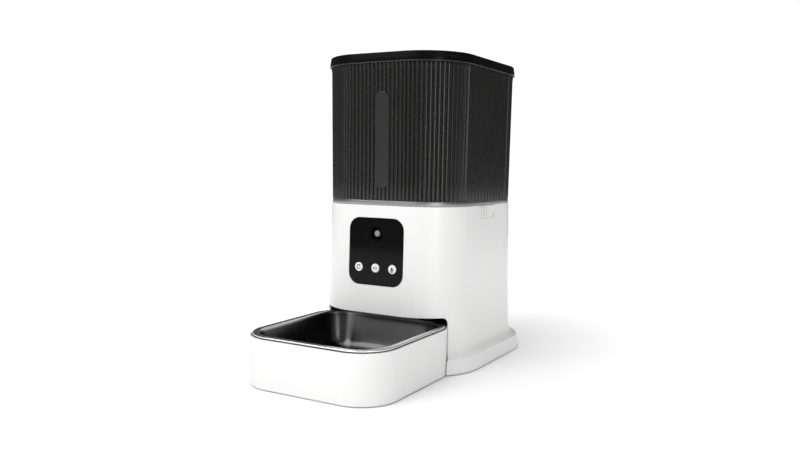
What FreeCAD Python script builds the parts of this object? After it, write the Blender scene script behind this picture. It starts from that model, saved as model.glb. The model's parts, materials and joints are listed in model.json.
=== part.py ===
"""Automatic pet feeder with a lift-off reeded hopper and a docked steel bowl.

Millimetres, +Z up, front towards -Y. The origin is on the floor under the centre of the
feeder's outline, bowl included. Every sub-part is an object of one document and takes its
sizes from the spreadsheet "sizes".
"""
import FreeCAD, Part
import math
import os
import Sketcher

os.makedirs("parts", exist_ok=True)
doc = FreeCAD.newDocument("pet_feeder")
V = FreeCAD.Vector
UP = V(0, 0, 1)

# ---------------------------------------------------------------- driving dimensions
DRIVING = [
    ("body_y", 58.05, "centre of the housing, ahead of which the bowl stands"),
    ("body_width", 165.0, "housing at its top"),
    ("body_depth", 208.2, "housing at its top"),
    ("body_corner", 53.0, "plan radius of the housing corners at its top"),
    ("body_flare", 3.7, "how far each side leans out at the plinth"),
    ("body_top", 174.8, "top face of the housing"),
    ("wall", 2.6, "housing wall"),
    ("foot_gap", 1.0, "air under the plinth and the bowl holder"),
    ("plinth_top", 16.1, "ridge of the plinth"),
    ("plinth_reach", 12.0, "plinth outline outside the flared housing, at the floor"),
    ("plinth_lean", 2.6, "how far the plinth edge leans in at its ridge"),
    ("plinth_blend", 8.6, "hollow blend between plinth and housing"),
    ("ring_tall", 5.35, "metal trim ring"),
    ("ring_deep", 6.0, "metal trim ring, radial"),
    ("tank_width", 164.1, "hopper at its bottom"),
    ("tank_depth", 207.3, "hopper at its bottom"),
    ("tank_corner", 52.6, "plan radius of the hopper corners at its bottom"),
    ("tank_spread", 1.9, "how far each hopper side leans out at its top"),
    ("tank_top", 324.1, "top edge of the hopper"),
    ("tank_wall", 3.4, "hopper wall at the rib crests"),
    ("ribs_front", 6, "upright ribs from the middle of the front to its corner"),
    ("ribs_corner", 16, "upright ribs round a corner, wider towards the side"),
    ("ribs_side", 6, "upright ribs from a corner to the middle of the side"),
    ("rib_deep", 1.6, "depth of the groove between two ribs"),
    ("lid_tall", 10.7, "lid"),
    ("lid_overhang", 2.3, "lid past the hopper on each side"),
    ("window_x", 4.7, "level window, off centre"),
    ("window_wide", 15.2, "level window"),
    ("window_low", 192.8, "level window, lowest point"),
    ("window_high", 294.5, "level window, highest point"),
    ("holder_width", 162.9, "bowl holder"),
    ("holder_length", 169.9, "bowl holder"),
    ("holder_front", 177.85, "bowl holder front, ahead of the origin"),
    ("holder_corner", 38.2, "bowl holder corners"),
    ("holder_top", 49.5, "bowl holder top edge"),
    ("holder_wall", 2.4, "bowl holder wall"),
    ("flange_inset", 2.6, "bowl flange inside the holder outline"),
    ("flange_thick", 2.4, "rolled edge of the bowl"),
    ("flange_wide", 6.0, "bowl flange"),
    ("bowl_low", 9.0, "underside of the bowl"),
    ("steel", 0.8, "bowl sheet"),
    ("dock_top", 58.7, "lip of the housing over the bowl"),
    ("dock_gap", 1.2, "air between bowl holder and housing"),
    ("dock_round", 6.5, "rounding of the opening's upper corners"),
    ("liner_wall", 2.0, "dock liner"),
    ("panel_width", 67.1, "control panel"),
    ("panel_tall", 72.2, "control panel"),
    ("panel_low", 89.3, "control panel, lower edge"),
    ("panel_corner", 13.0, "control panel corners"),
    ("panel_thick", 2.4, "control panel"),
    ("lens_high", 144.6, "camera axis"),
    ("lens_ring", 8.8, "camera bezel radius"),
    ("button_high", 108.0, "row of buttons"),
    ("button_pitch", 20.8, "spacing of the buttons"),
    ("button_radius", 4.8, "button"),
    ("lock_high", 166.2, "hopper lock sliders"),
    ("lock_long", 45.0, "thumb recess of the hopper lock"),
    ("lock_tall", 12.4, "thumb recess of the hopper lock"),
    ("deck_high", 125.0, "underside of the drive deck"),
    ("rotor_y", 14.0, "rotor axis behind the housing centre"),
    ("drum_radius", 58.0, "dispensing drum, inside"),
    ("drum_low", 129.5, "underside of the drum floor"),
    ("drum_top", 160.0, "rim of the drum"),
    ("sheet", 2.5, "floors, decks and covers"),
    ("gear_module", 0.8, "all gears"),
]
TEETH = {"pinion": 16, "idler_large": 40, "idler_small": 16, "output": 50}

sheet = doc.addObject("Spreadsheet::Sheet", "sizes")
for row, (alias, value, note) in enumerate(DRIVING, start=1):
    sheet.set(f"A{row}", note)
    sheet.set(f"B{row}", str(value))
    sheet.setAlias(f"B{row}", alias)
doc.recompute()


def bind(obj, **expressions):
    """Bind properties to expressions; X, Y and Z stand for the placement."""
    for name, expression in expressions.items():
        path = f"Placement.Base.{name.lower()}" if name in "XYZ" else name
        obj.setExpression(path, str(expression))


def sized(expression):
    """The present value of an expression over the sheet."""
    return float(sheet.evalExpression(str(expression)))


def e(text):
    """Prefix the aliases in an expression with the sheet's name."""
    words = []
    for word in str(text).replace("(", " ( ").replace(")", " ) ").split():
        words.append("sizes." + word if any(word == row[0] for row in DRIVING) else word)
    return " ".join(words)


# ---------------------------------------------------------------- building blocks
def cuboid(name, size, low):
    """A box from its size and its lowest corner."""
    obj = doc.addObject("Part::Box", name)
    bind(obj, Length=e(size[0]), Width=e(size[1]), Height=e(size[2]))
    bind(obj, X=e(low[0]), Y=e(low[1]), Z=e(low[2]))
    return obj


TURNS = {
    "+Z": FreeCAD.Rotation(),
    "-Y": FreeCAD.Rotation(V(1, 0, 0), 90),
    "+Y": FreeCAD.Rotation(V(1, 0, 0), -90),
    "+X": FreeCAD.Rotation(V(0, 1, 0), 90),
    "-X": FreeCAD.Rotation(V(0, 1, 0), -90),
}


def rod(name, radius, length, start, along="+Z"):
    """A cylinder from the centre of its first end."""
    obj = doc.addObject("Part::Cylinder", name)
    obj.Placement = FreeCAD.Placement(V(), TURNS[along])
    bind(obj, Radius=e(radius), Height=e(length))
    bind(obj, X=e(start[0]), Y=e(start[1]), Z=e(start[2]))
    return obj


def tapered(name, radius_low, radius_high, length, start, along="+Z"):
    """A cone from the centre of its first end."""
    obj = doc.addObject("Part::Cone", name)
    obj.Placement = FreeCAD.Placement(V(), TURNS[along])
    bind(obj, Radius1=e(radius_low), Radius2=e(radius_high), Height=e(length))
    bind(obj, X=e(start[0]), Y=e(start[1]), Z=e(start[2]))
    return obj


def fuse(name, *shapes):
    obj = doc.addObject("Part::MultiFuse", name)
    obj.Shapes = list(shapes)
    return obj


def cut(name, base, *tools):
    obj = doc.addObject("Part::Cut", name)
    obj.Base = base
    obj.Tool = tools[0] if len(tools) == 1 else fuse(name + "_tools", *tools)
    return obj


def common(name, *shapes):
    obj = doc.addObject("Part::MultiCommon", name)
    obj.Shapes = list(shapes)
    return obj


def group(name, *shapes):
    """Separate like solids that share one node."""
    obj = doc.addObject("Part::Compound", name)
    obj.Links = list(shapes)
    return obj


def rounded_outline(owner, name, width, depth, radius):
    """A constrained rounded rectangle, centred on the sketch's origin."""
    sketch = owner.addObject("Sketcher::SketchObject", name) if owner is doc \
        else owner.newObject("Sketcher::SketchObject", name)
    half_w, half_d, corner = sized(e(width)) / 2, sized(e(depth)) / 2, sized(e(radius))
    in_w, in_d = half_w - corner, half_d - corner
    line = Part.LineSegment
    sketch.addGeometry(line(V(-in_w, -half_d, 0), V(in_w, -half_d, 0)), False)
    sketch.addGeometry(line(V(half_w, -in_d, 0), V(half_w, in_d, 0)), False)
    sketch.addGeometry(line(V(in_w, half_d, 0), V(-in_w, half_d, 0)), False)
    sketch.addGeometry(line(V(-half_w, in_d, 0), V(-half_w, -in_d, 0)), False)
    centres = [(in_w, -in_d, 270), (in_w, in_d, 0), (-in_w, in_d, 90), (-in_w, -in_d, 180)]
    for x, y, first in centres:
        circle = Part.Circle(V(x, y, 0), UP, corner)
        start = math.radians(first)
        sketch.addGeometry(Part.ArcOfCircle(circle, start, start + math.pi / 2), False)
    add = sketch.addConstraint
    for side in range(4):
        add(Sketcher.Constraint("Tangent", side, 2, 4 + side, 1))
        add(Sketcher.Constraint("Tangent", 4 + side, 2, (side + 1) % 4, 1))
    for side, kind in enumerate(("Horizontal", "Vertical", "Horizontal", "Vertical")):
        add(Sketcher.Constraint(kind, side))
    for arc in (5, 6, 7):
        add(Sketcher.Constraint("Equal", 4, arc))
    driven = [
        (Sketcher.Constraint("Radius", 4, corner), radius),
        (Sketcher.Constraint("DistanceX", -1, 1, 1, 1, half_w), f"( {width} ) / 2"),
        (Sketcher.Constraint("DistanceX", 3, 1, -1, 1, half_w), f"( {width} ) / 2"),
        (Sketcher.Constraint("DistanceY", -1, 1, 2, 1, half_d), f"( {depth} ) / 2"),
        (Sketcher.Constraint("DistanceY", 0, 1, -1, 1, half_d), f"( {depth} ) / 2"),
    ]
    for constraint, expression in driven:
        index = add(constraint)
        sketch.setExpression(f"Constraints[{index}]", e(expression))
    return sketch


def plane_of(body, role):
    return [f for f in body.Origin.OriginFeatures if f.Role == role][0]


def slab(name, width, depth, radius, thick, at, lean=0, rotation=None):
    """A rounded plate or block; lean is how far its top edge stands inside its bottom edge."""
    body = doc.addObject("PartDesign::Body", name)
    sketch = rounded_outline(body, name + "_outline", width, depth, radius)
    sketch.AttachmentSupport = [(plane_of(body, "XY_Plane"), "")]
    sketch.MapMode = "FlatFace"
    pad = body.newObject("PartDesign::Pad", name + "_pad")
    pad.Profile = sketch
    bind(pad, Length=e(thick))
    if lean:
        pad.setExpression("TaperAngle", f"-atan( ( {e(lean)} ) / ( {e(thick)} ) )")
    if rotation:
        body.Placement = FreeCAD.Placement(V(), rotation)
    bind(body, X=e(at[0]), Y=e(at[1]), Z=e(at[2]))
    return body


def soften(name, base, radius, picked):
    """Round the edges of a shape whose midpoint passes the test."""
    doc.recompute()
    obj = doc.addObject("Part::Fillet", name)
    obj.Base = base
    size = sized(e(radius))
    edges = [i + 1 for i, edge in enumerate(base.Shape.Edges) if picked(edge)]
    obj.Edges = [(index, size, size) for index in edges]
    return obj


def lofted(name, *sections):
    """A straight-sided solid between rounded outlines (width, depth, radius, x, y, z)."""
    outlines = []
    for number, (width, depth, radius, x, y, z) in enumerate(sections):
        outline = rounded_outline(doc, f"{name}_outline{number}", width, depth, radius)
        bind(outline, X=e(x), Y=e(y), Z=e(z))
        outlines.append(outline)
    obj = doc.addObject("Part::Loft", name)
    obj.Sections = outlines
    obj.Solid = True
    obj.Ruled = True
    return obj


def featured(name, shape, place=None):
    """A sub-part whose shape is worked out with Part's own functions."""
    obj = doc.addObject("Part::Feature", name)
    obj.Shape = shape
    if place:
        obj.Placement = place
    return obj


def screw(name, at, length, head_radius=2.6, shank_radius=1.2, along="+Z"):
    """A pan head with its shank along the given direction; at is the outer face of the head."""
    head = rod(name + "_head", head_radius, 1.6, at, along)
    shank = rod(name + "_shank", shank_radius, length, at, along)
    socket = rod(name + "_socket", 1.0, 0.9, at, along)
    return cut(name, fuse(name + "_blank", head, shank), socket)


NODES = {}


def node(name, obj):
    """Name a finished sub-part."""
    obj.Label = name
    NODES[name] = obj
    return obj


def level(z):
    """A test for edges that lie at one height."""
    return lambda edge: abs(edge.BoundBox.ZMin - z) < 0.02 and abs(edge.BoundBox.ZMax - z) < 0.02


# ---------------------------------------------------------------- housing
TALL = "body_top - plinth_top"
FLARED_W, FLARED_D = "body_width + 2 * body_flare", "body_depth + 2 * body_flare"
FLARED_R = "body_corner + body_flare"
ROTOR_Y = "( body_y + rotor_y )"
HOLDER_Y = "( holder_length / 2 - holder_front )"


def housing_solid(name, inset, low, high_trim):
    """The housing's outline as a solid, offset inwards by inset."""
    plinth = slab(name + "_plinth", f"{FLARED_W} + 2 * plinth_reach - 2 * {inset}",
                  f"{FLARED_D} + 2 * plinth_reach - 2 * {inset}",
                  f"{FLARED_R} + plinth_reach - {inset}",
                  f"plinth_top - {low} - {high_trim}", (0, "body_y", low), "plinth_lean")
    tower = slab(name + "_tower", f"{FLARED_W} - 2 * {inset}", f"{FLARED_D} - 2 * {inset}",
                 f"{FLARED_R} - {inset}", f"{TALL}", (0, "body_y", f"plinth_top - {high_trim}"),
                 "body_flare")
    return fuse(name, plinth, tower)


def dock_solid(name, grow, top, front=60):
    """The space of the docked bowl holder, grown all round and run out past the front."""
    corner = f"holder_corner + {grow}"
    block = slab(name + "_block", f"holder_width + 2 * {grow}",
                 f"holder_length + 2 * {grow} + {front}", corner, f"{top} + 5",
                 (0, f"{HOLDER_Y} - {front} / 2", -5))
    return soften(name, block, "dock_round", level(sized(e(top))))


def recess_of(name, side, depth, long, tall, y, reach=12):
    """A pill-shaped solid that enters the housing's side wall from outside."""
    turn = FreeCAD.Rotation(V(0, 1, 0), 90) if side > 0 else FreeCAD.Rotation(V(0, 1, 0), -90)
    start = f"{side} * ( body_width / 2 - {depth} )"
    return slab(name, tall, long, f"{tall} / 2 - 0.01", reach, (start, y, "lock_high"),
                rotation=turn)


def housing_bosses():
    """Screw bosses of the bottom plate, inside the hollow of the plinth."""
    side = "( body_width / 2 + 6 )"
    rear = "( body_y + body_depth / 2 + 6.5 )"
    return [(f"-{side}", "body_y - 22"), (side, "body_y - 22"), (f"-{side}", "body_y + 42"),
            (side, "body_y + 42"), ("-36", rear), ("36", rear)]


def main_housing():
    outer = housing_solid("housing_outer", "0", "foot_gap", "0")
    ridge = sized("sizes.plinth_top")
    half_w, half_d = sized(e(FLARED_W)) / 2 + 1, sized(e(FLARED_D)) / 2 + 1
    middle = sized("sizes.body_y")

    def where_tower_stands(edge):
        box = edge.BoundBox
        reach = max(box.YMax - middle, middle - box.YMin)
        return level(ridge)(edge) and max(box.XMax, -box.XMin) < half_w and reach < half_d

    blended = soften("housing_blend", outer, "plinth_blend", where_tower_stands)
    hollow = housing_solid("housing_hollow", "wall", "-1", "wall")
    shell = cut("housing_shell", blended, hollow)
    posts = [rod(f"boss{i}", 3.4, "plinth_top - 4.6", (x, y, 3.7))
             for i, (x, y) in enumerate(housing_bosses())]
    holes = [rod(f"boss_hole{i}", 1.25, 9, (x, y, 3))
             for i, (x, y) in enumerate(housing_bosses())]
    ledges = []
    for side in (-1, 1):
        ledges.append(cuboid(f"deck_ledge{side}", (6, 60, 3),
                             (f"{side} * ( body_width / 2 - 3.4 ) - 3", "body_y - 20",
                              "deck_high - 3")))
    solid = fuse("housing_with_bosses", shell, *posts, *ledges)
    deck_opening = slab("deck_opening", 150, 190, 45, 12, (0, "body_y", "body_top - 8"))
    dock = dock_solid("dock_space", "dock_gap", "dock_top")
    panel_seat = slab("panel_seat", "panel_width + 0.3", "panel_tall + 0.3", "panel_corner",
                      20, (0, "body_y - body_depth / 2 + 8", "panel_low + panel_tall / 2"),
                      rotation=TURNS["-Y"])
    inlet_hole = cuboid("inlet_hole", (12, 12, 6), (-46, "body_y + body_depth / 2 - 4", 33))
    cuts = [deck_opening, dock, panel_seat, inlet_hole, *holes]
    for side, word in ((-1, "left"), (1, "right")):
        cuts.append(recess_of(f"thumb_recess_{word}", side, 1.4, "lock_long", "lock_tall",
                              "body_y - 1.5"))
        cuts.append(cuboid(f"stem_slot_{word}", (16, 26, 5.4),
                           (f"{side} * ( body_width / 2 - 2 ) - 8", "body_y - 20",
                            "lock_high - 2.7")))
    node("main_housing", cut("housing", solid, *cuts))
    return dock


def bottom_plate(dock_for_plate):
    """Flat floor of the housing, inside the plinth, open for the battery door."""
    inset = "( wall + 1.2 )"
    plate = slab("plate_blank", f"{FLARED_W} + 2 * plinth_reach - 2 * {inset}",
                 f"{FLARED_D} + 2 * plinth_reach - 2 * {inset}",
                 f"{FLARED_R} + plinth_reach - {inset}", "sheet",
                 (0, "body_y", "foot_gap"))
    holes = [rod(f"plate_hole{i}", 1.6, 6, (x, y, 0)) for i, (x, y) in enumerate(housing_bosses())]
    sinks = [rod(f"plate_sink{i}", 3.0, 1.8, (x, y, "foot_gap - 0.2"))
             for i, (x, y) in enumerate(housing_bosses())]
    seats = [rod(f"foot_seat{i}", 8.2, 2, (x, y, 0)) for i, (x, y) in enumerate(foot_places())]
    bay = cuboid("door_opening", (108, 68, 6), (-54, "body_y - 46", 0))
    slots = [cuboid(f"speaker_slot{i}", (24, 1.8, 6), (32, f"body_y + {58 + 4 * i}", 0))
             for i in range(5)]
    node("bottom_plate", cut("plate", plate, dock_for_plate, bay, *holes, *sinks, *seats, *slots))
    screws = [screw(f"bottom_screw{i}", (x, y, "foot_gap"), 9)
              for i, (x, y) in enumerate(housing_bosses())]
    node("bottom_screws", group("plate_screws", *screws))


def foot_places():
    return [("-82", "body_y + 14"), ("82", "body_y + 14"), ("-58", "body_y + 90"),
            ("58", "body_y + 90")]


def rubber_feet():
    feet = [rod(f"foot{i}", 8, 2, (x, y, 0)) for i, (x, y) in enumerate(foot_places())]
    node("rubber_feet", group("feet", *feet))


def dock_liner(dock):
    """Black tub behind the opening: rear wall and roof, with the mouth of the chute."""
    grown = dock_solid("liner_outer", "( dock_gap + liner_wall )", "dock_top + liner_wall")
    inside = housing_solid("liner_limit", "( wall + 0.25 )", "-1", "( wall + 0.25 )")
    above = cuboid("liner_above_plate", (300, 300, 200), (-150, -200, "foot_gap + sheet + 0.1"))
    clipped = common("liner_block", grown, inside, above)
    mouth = cuboid("liner_mouth", (67, 33, 12), (-33.5, "body_y - 101.5", "dock_top - 5"))
    node("dock_liner", cut("liner", clipped, dock, mouth))
    return dock_solid("plate_relief", "( dock_gap + liner_wall + 0.4 )", "dock_top")


def trim_ring():
    outer = slab("ring_outer", "body_width - 1.2", "body_depth - 1.2", "body_corner - 0.6",
                 "ring_tall", (0, "body_y", "body_top"))
    inner = slab("ring_inner", "body_width - 1.2 - 2 * ring_deep",
                 "body_depth - 1.2 - 2 * ring_deep", "body_corner - 0.6 - ring_deep",
                 "ring_tall + 2", (0, "body_y", "body_top - 1"))
    node("trim_ring", cut("ring", outer, inner))


# ---------------------------------------------------------------- control panel
PANEL_Y = "( body_y - body_depth / 2 - 1.4 )"
BUTTONS = (("left", -1), ("middle", 0), ("right", 1))


def control_panel():
    face = slab("panel_blank", "panel_width", "panel_tall", "panel_corner - 0.15", "panel_thick",
                (0, f"{PANEL_Y} + panel_thick", "panel_low + panel_tall / 2"),
                rotation=TURNS["-Y"])
    holes = [rod(f"button_hole_{word}", "button_radius + 0.2", 8,
                 (f"{step} * button_pitch", f"{PANEL_Y} - 2", "button_high"), "+Y")
             for word, step in BUTTONS]
    lens_hole = rod("lens_hole", "lens_ring", 8, (0, f"{PANEL_Y} - 2", "lens_high"), "+Y")
    voice_hole = rod("voice_hole", 0.6, 8, (22, f"{PANEL_Y} - 2", "lens_high"), "+Y")
    node("control_panel", cut("panel", face, lens_hole, voice_hole, *holes))


def camera():
    """A stepped barrel set back in the panel, its domed glass and the board behind."""
    start = (0, f"{PANEL_Y} + 0.2", "lens_high")
    sleeve = rod("barrel_sleeve", "lens_ring - 0.05", 9, start, "+Y")
    cone = tapered("barrel_cone", "lens_ring - 1.2", "lens_ring - 3.4", 4.2, start, "+Y")
    bore = rod("barrel_bore", "lens_ring - 3.4", 12, start, "+Y")
    node("camera_barrel", cut("barrel", sleeve, cone, bore))
    glass = doc.addObject("Part::Sphere", "lens_ball")
    bind(glass, Radius=e("lens_ring - 1"), X="0", Y=e(f"{PANEL_Y} + 11"), Z=e("lens_high"))
    tube = rod("lens_tube", "lens_ring - 3.45", 4, (0, f"{PANEL_Y} + 3.6", "lens_high"), "+Y")
    node("camera_lens", common("lens", glass, tube))
    board = cuboid("camera_board", (26, 1.2, 22), (-13, f"{PANEL_Y} + 9.3", "lens_high - 11"))
    chip = cuboid("image_chip", (7, 1.2, 7), (-3.5, f"{PANEL_Y} + 8.1", "lens_high - 3.5"))
    node("camera_module", fuse("camera_stack", board, chip))


def buttons():
    """Three round keys whose stems stand just ahead of the switches behind the panel."""
    for word, step in BUTTONS:
        x = f"{step} * button_pitch"
        cap = rod(f"cap_{word}", "button_radius", 3.6, (x, f"{PANEL_Y} - 0.7", "button_high"), "+Y")
        collar = rod(f"collar_{word}", "button_radius + 1.1", 0.9,
                     (x, f"{PANEL_Y} + panel_thick + 0.1", "button_high"), "+Y")
        stem = rod(f"stem_{word}", 1.6, 4, (x, f"{PANEL_Y} + 2", "button_high"), "+Y")
        node(f"button_{word}", fuse(f"key_{word}", cap, collar, stem))
    switches = []
    for word, step in BUTTONS:
        x = f"{step} * button_pitch"
        can = cuboid(f"switch_can_{word}", (6, 2.6, 6),
                     (f"{x} - 3", f"{PANEL_Y} + 7.4", "button_high - 3"))
        tip = rod(f"switch_tip_{word}", 1.5, 0.6, (x, f"{PANEL_Y} + 6.8", "button_high"), "+Y")
        switches.append(fuse(f"switch_{word}", can, tip))
    node("tact_switches", group("switches", *switches))
    board = cuboid("key_board", (58, 1.4, 24), (-29, f"{PANEL_Y} + 10", "button_high - 12"))
    node("button_board", board)
    node("microphone", rod("voice_pickup", 2.4, 2.2, (22, f"{PANEL_Y} + 2.9", "lens_high"), "+Y"))


# ---------------------------------------------------------------- hopper lock
def hopper_locks():
    """Thumb sliders in the side walls; each carries a bolt that runs under a hopper hook."""
    for side, word in ((-1, "left"), (1, "right")):
        turn = TURNS["+X"] if side > 0 else TURNS["-X"]
        pad = slab(f"thumb_{word}", "lock_tall - 0.6", 30, "lock_tall / 2 - 0.31", 1.5,
                   (f"{side} * ( body_width / 2 - 1.2 )", "body_y - 8.6", "lock_high"),
                   rotation=turn)
        grips = [cuboid(f"grip_{word}{i}", (1.2, 1.4, "lock_tall - 3.6"),
                        (f"{side} * ( body_width / 2 + 0.2 ) - 0.6",
                         f"body_y - 18.5 + {i} * 6.5", "lock_high - ( lock_tall - 3.6 ) / 2"))
                 for i in range(3)]
        stem = cuboid(f"lock_stem_{word}", (11, 9, 4.6),
                      (f"{side} * ( body_width / 2 - 6 ) - 5.5", "body_y - 18", "lock_high - 2.3"))
        bolt = cuboid(f"bolt_{word}", (4, 14, 4), (f"{side} * ( body_width / 2 - 11.5 ) - 2",
                                                   "body_y - 23", "lock_high - 2"))
        node(f"lock_slider_{word}", fuse(f"slider_{word}", pad, stem, bolt, *grips))


# ---------------------------------------------------------------- food path in the base
def food_chute():
    """Slide from the drum's outlet down to the mouth over the bowl."""
    top_y, low_y = "body_y - 29.5", "body_y - 86"
    outer = lofted("chute_outer", (66, 29, 4, 0, low_y, "dock_top"), (68, 33, 4, 0, top_y, 128.5))
    inner = lofted("chute_inner", (62, 25, 2.5, 0, low_y, "dock_top - 1"),
                   (64, 29, 2.5, 0, top_y, 129.5))
    node("food_chute", cut("chute", outer, inner))


def food_sensors():
    """Sender and receiver that watch the chute from its two sides."""
    eyes = []
    for side in (-1, 1):
        start = f"{side} * 33.8"
        along = "+X" if side > 0 else "-X"
        eyes.append(fuse(f"eye{side}",
                         rod(f"eye_body{side}", 2.4, 5, (start, "body_y - 60", 96), along),
                         cuboid(f"eye_flag{side}", (1.2, 9, 12),
                                (f"{side} * 39 - 0.6", "body_y - 64.5", 90))))
    node("food_sensors", group("sensor_pair", *eyes))


def drive_deck():
    """Plate under the hopper bay that carries the drive and keeps crumbs off it."""
    inset = "( wall + 0.4 )"
    drop = "( body_top - deck_high )"
    share = f"( body_flare * {drop} / ( {TALL} ) )"
    plate = slab("deck_blank", f"body_width + 2 * {share} - 2 * {inset}",
                 f"body_depth + 2 * {share} - 2 * {inset}",
                 f"body_corner + {share} - {inset}", "sheet", (0, "body_y", "deck_high"))
    front = cuboid("deck_front", (200, 40, 6), (-100, "body_y - 86 - 40", "deck_high - 1"))
    chute_gap = cuboid("deck_chute_gap", (69, 37.5, 6),
                       (-34.5, "body_y - 50.2", "deck_high - 1"))
    drive_gap = rod("deck_drive_gap", 9, 6, (0, ROTOR_Y, "deck_high - 1"))
    pegs = [rod(f"deck_peg{i}", 1.65, 6, (x, y, "deck_high - 1"))
            for i, (x, y) in enumerate(gearbox_screws())]
    node("drive_deck", cut("deck", plate, front, chute_gap, drive_gap, *pegs))


# ---------------------------------------------------------------- gear train
OUTPUT_AT = ("0", ROTOR_Y)
SMALL_REACH = f"( gear_module * {(TEETH['output'] + TEETH['idler_small']) / 2} )"
LARGE_REACH = f"( gear_module * {(TEETH['idler_large'] + TEETH['pinion']) / 2} )"
IDLER_AT = ("0", f"( {ROTOR_Y} + {SMALL_REACH} )")
PINION_AT = (LARGE_REACH, IDLER_AT[1])
PRESSURE = math.radians(20)
BACKLASH = 0.10


def involute_wire(teeth, module):
    """The outline of a spur gear; a tooth is centred on +X."""
    pitch = module * teeth / 2
    base = pitch * math.cos(PRESSURE)
    tip = pitch + 0.95 * module
    root = pitch - 1.2 * module
    flank_at_pitch = math.tan(PRESSURE) - PRESSURE
    half_tooth = math.pi / (2 * teeth) - BACKLASH / (2 * pitch)
    start = max(base, root)
    steps = 5

    def flank(sign, turn):
        points = []
        for i in range(steps + 1):
            radius = start + (tip - start) * i / steps
            roll = math.acos(min(1.0, base / radius))
            angle = half_tooth + flank_at_pitch - (math.tan(roll) - roll)
            points.append(V(radius * math.cos(turn + sign * angle),
                            radius * math.sin(turn + sign * angle), 0))
        return points

    points = []
    for tooth in range(teeth):
        turn = 2 * math.pi * tooth / teeth
        low = flank(-1, turn)
        high = list(reversed(flank(1, turn)))
        foot = (half_tooth + flank_at_pitch) * 1.02
        if root < base:
            points.append(V(root * math.cos(turn - foot), root * math.sin(turn - foot), 0))
        points += low + high
        if root < base:
            points.append(V(root * math.cos(turn + foot), root * math.sin(turn + foot), 0))
    return Part.makePolygon(points + [points[0]])


def gear_solid(teeth, thick, bore=0.0):
    wheel = Part.Face(involute_wire(teeth, sized("sizes.gear_module"))).extrude(V(0, 0, thick))
    return wheel.cut(Part.makeCylinder(bore, thick)) if bore else wheel


def placed(at, z, turn=0.0):
    return FreeCAD.Placement(V(sized(e(at[0])), sized(e(at[1])), z), FreeCAD.Rotation(UP, turn))


def hexagon_solid(radius, tall):
    """A six-sided bar with a corner on +X."""
    turns = [math.radians(60 * i) for i in range(7)]
    corners = [V(radius * math.cos(turn), radius * math.sin(turn), 0) for turn in turns]
    return Part.Face(Part.makePolygon(corners)).extrude(V(0, 0, tall))


GEAR_LOW = 106.0
PIN_RADIUS = 1.5
SHAFT_RADIUS = 1.0
IDLER_STEP = 5.0
OUTPUT_THICK = 5.5
DISH_DEEP = 1.4
HEX_RADIUS = 7.0
HEX_PLAY = 0.25
SPIGOT_LONG = 10.2
TRAY_LOW = GEAR_LOW - 4.5
COVER_LOW = GEAR_LOW + 16.2
BOX_MIDDLE = ("7", "( body_y + 28.5 )")
BOX_SIZE = (68, 78, 7)


def drive_gears():
    """Motor pinion, compound idler and output gear, in mesh as they stand."""
    doc.recompute()
    pinion_turn = 180 + 180 / TEETH["pinion"]
    shaft = Part.makeCylinder(SHAFT_RADIUS, 8.5, V(0, 0, -1))
    pinion = gear_solid(TEETH["pinion"], 6.0, SHAFT_RADIUS + 0.02)
    node("motor_pinion", featured("pinion", pinion, placed(PINION_AT, GEAR_LOW, pinion_turn)))
    node("motor_shaft", featured("shaft", shaft, placed(PINION_AT, GEAR_LOW)))
    large = gear_solid(TEETH["idler_large"], IDLER_STEP, PIN_RADIUS + 0.05)
    small = gear_solid(TEETH["idler_small"], 8.0, PIN_RADIUS + 0.05)
    small.rotate(V(), UP, 270 - 180 / TEETH["idler_small"])
    small.translate(V(0, 0, IDLER_STEP))
    idler = large.fuse(small).removeSplitter()
    node("idler_gear", featured("idler", idler, placed(IDLER_AT, GEAR_LOW + 0.3)))
    wheel = gear_solid(TEETH["output"], OUTPUT_THICK)
    wheel = wheel.fuse(Part.makeCylinder(5.95, 8.2, V(0, 0, OUTPUT_THICK)))
    wheel = wheel.fuse(Part.makeCylinder(2.95, 8.6, V(0, 0, -8.6)))
    dish_low = V(0, 0, OUTPUT_THICK - DISH_DEEP)
    dish = Part.makeCylinder(15.5, DISH_DEEP, dish_low).cut(
        Part.makeCylinder(8.5, DISH_DEEP, dish_low))
    wheel = wheel.cut(dish).removeSplitter()
    node("output_gear", featured("output", wheel, placed(OUTPUT_AT, GEAR_LOW + 6.6, 90)))
    spigot = hexagon_solid(HEX_RADIUS, SPIGOT_LONG)
    tip = [edge for edge in spigot.Edges if level(SPIGOT_LONG)(edge)]
    spigot = spigot.makeChamfer(1.2, tip)
    node("drive_spigot", featured("spigot", spigot, placed(OUTPUT_AT, GEAR_LOW + 20.3)))


def gearbox_screws():
    return [("-22", "body_y - 3"), ("22", "body_y - 3"), ("-22", "body_y + 62"),
            ("36", "body_y + 62")]


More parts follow.
